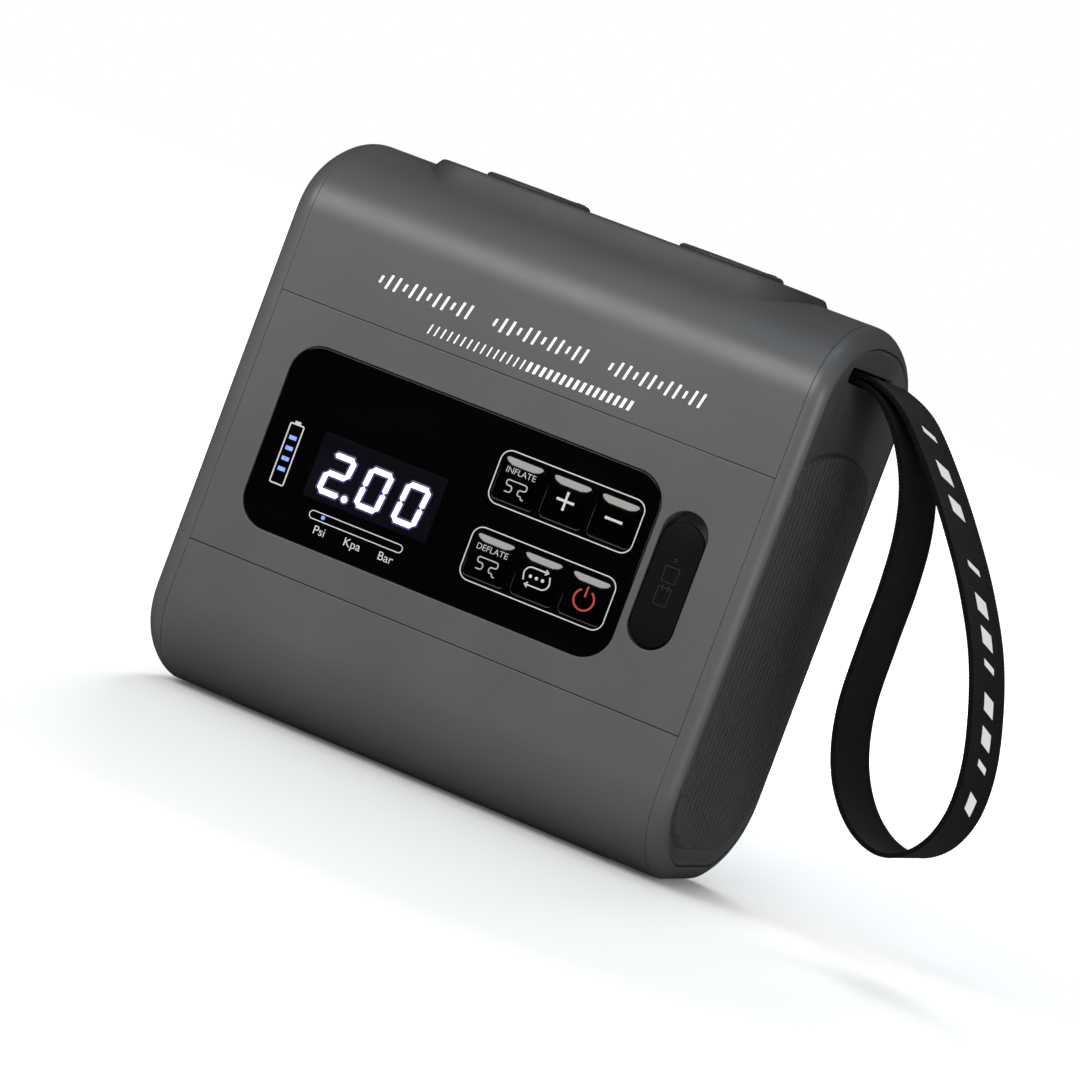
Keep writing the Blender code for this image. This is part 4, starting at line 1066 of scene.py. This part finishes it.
def finish_cad_nodes():
    """Gives the CAD nodes that stay as they are their materials and slots."""
    groups = (
        ("inner_plastic", INNER, ("mid_frame", "lens_carrier", "led_display", "battery_tray", "battery_clamp",
                                  "motor_mount", "volute_lower", "volute_upper", "impeller", "outlet_duct",
                                  "intake_screen", "strap_anchor")),
        ("steel", STEEL, ("motor_can", "motor_shaft", "strap_pin")),
        ("circuit_board", BOARD, ("display_pcb", "main_pcb")),
        ("cell_wrap", CELL, tuple(f"battery_cell_{n}" for n in range(1, 5))),
        ("rubber_black", RUBBER, ("key_dome_mat", "sensor_tube", "check_valve_disc", "strap_tail")),
        ("gloss_black", LENS, ("pressure_sensor",)),
    )
    for slot_name, finish, names in groups:
        for name in names:
            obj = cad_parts[name]
            for place in obj.material_slots:
                place.material = finish
            if not obj.material_slots:
                obj.data.materials.append(finish)


# ---------------------------------------------------------------- studio

LIGHT_AIM = (0.0, 0.0, 0.09)
CAMERA_PLACE, CAMERA_YAW, CAMERA_PITCH, CAMERA_LEAN = (0.45243, -1.30203, 0.15217), 18.913, 3.177, 20.557
CAMERA_LENS, CAMERA_SENSOR = 160.92, 36.0
FLOOR_GLOW = {"From Min": 0.25, "From Max": 1.3, "To Min": 0.05, "To Max": 1.0}


def area_light(name, place, size, power, colour):
    """A rectangular softbox that looks at the middle of the pump."""
    data = bpy.data.lights.new(name, "AREA")
    data.shape = "RECTANGLE"
    data.size, data.size_y = size
    data.energy = power
    data.color = colour
    light = linked(name, data)
    light.location = place
    light.rotation_euler = (Vector(LIGHT_AIM) - Vector(place)).to_track_quat("-Z", "Y").to_euler()
    return light


def build_world():
    """Even light from the horizon that darkens towards the zenith, kept out of reflections."""
    world = bpy.data.worlds.new("studio")
    world.use_nodes = True
    tree = world.node_tree
    split = tree.nodes.new("ShaderNodeSeparateXYZ")
    tree.links.new(tree.nodes.new("ShaderNodeTexCoord").outputs["Generated"], split.inputs["Vector"])
    sky = ramp(tree, split.outputs["Z"], [(0.25, 1.0), (0.5, 0.28)])
    tree.links.new(sky, tree.nodes["Background"].inputs["Color"])
    world.cycles_visibility.glossy = False
    bpy.context.scene.world = world
    bpy.context.scene.view_settings.view_transform = "Standard"


def build_floor():
    """A pale disc that glows more further out, so that it stays white while the pump's shadow shows."""
    bm = bmesh.new()
    bmesh.ops.create_circle(bm, cap_ends=True, radius=30.0, segments=96)
    mesh = bpy.data.meshes.new("floor")
    bm.to_mesh(mesh)
    bm.free()
    floor = linked("floor", mesh)
    made, tree, _ = new_material("floor")
    reach = node(tree, "ShaderNodeVectorMath", operation="LENGTH")
    feed(tree, reach.inputs[0], tree.nodes.new("ShaderNodeNewGeometry").outputs["Position"])
    spread = node(tree, "ShaderNodeMapRange", Value=reach.outputs["Value"], **FLOOR_GLOW)
    surface(tree, Base_Color=(0.9, 0.9, 0.9, 1), Roughness=0.9, Specular_IOR_Level=0.0,
            Emission_Color=(1, 1, 1, 1), Emission_Strength=spread.outputs["Result"])
    mesh.materials.append(made)
    floor.visible_glossy = False


def build_lights():
    area_light("key_softbox", (-0.42, -1.2, 0.78), (1.3, 0.7), 17.0, (1.0, 0.97, 0.93))
    area_light("top_softbox", (0.1, -0.1, 1.3), (1.0, 0.3), 2.5, (0.6, 0.86, 1.0))
    area_light("right_fill", (1.0, -1.0, 0.3), (0.4, 0.6), 5.0, (1.0, 1.0, 1.0))
    rear = area_light("rear_light", (-0.25, 1.1, 0.75), (0.6, 0.4), 14.0, (1.0, 1.0, 1.0))
    rear.visible_glossy = False


def build_camera():
    """Long lens from the front right, rolled so that the pump leans clockwise in the picture."""
    yaw, pitch, lean = (math.radians(a) for a in (CAMERA_YAW, CAMERA_PITCH, CAMERA_LEAN))
    ahead = Vector((-math.sin(yaw) * math.cos(pitch), math.cos(yaw) * math.cos(pitch), -math.sin(pitch)))
    right = Vector((math.cos(yaw), math.sin(yaw), 0))
    up = right.cross(ahead)
    x_axis = right * math.cos(lean) + up * math.sin(lean)
    y_axis = up * math.cos(lean) - right * math.sin(lean)
    data = bpy.data.cameras.new("camera")
    data.sensor_width = CAMERA_SENSOR
    data.lens = CAMERA_LENS
    data.clip_start = 0.01
    camera = linked("camera", data)
    axes = Matrix((x_axis, y_axis, -ahead)).transposed().to_4x4()
    camera.matrix_world = Matrix.Translation(CAMERA_PLACE) @ axes
    bpy.context.scene.camera = camera


build_camera()
build_world()
build_floor()
build_lights()
build_shells()
build_front_and_rear()
build_base_pad()
build_end(-1, "left")
build_end(1, "right")
build_platform()
build_ports()
build_lens()
build_display()
build_shell_graphic()
build_charging()
build_strap()
finish_cad_nodes()
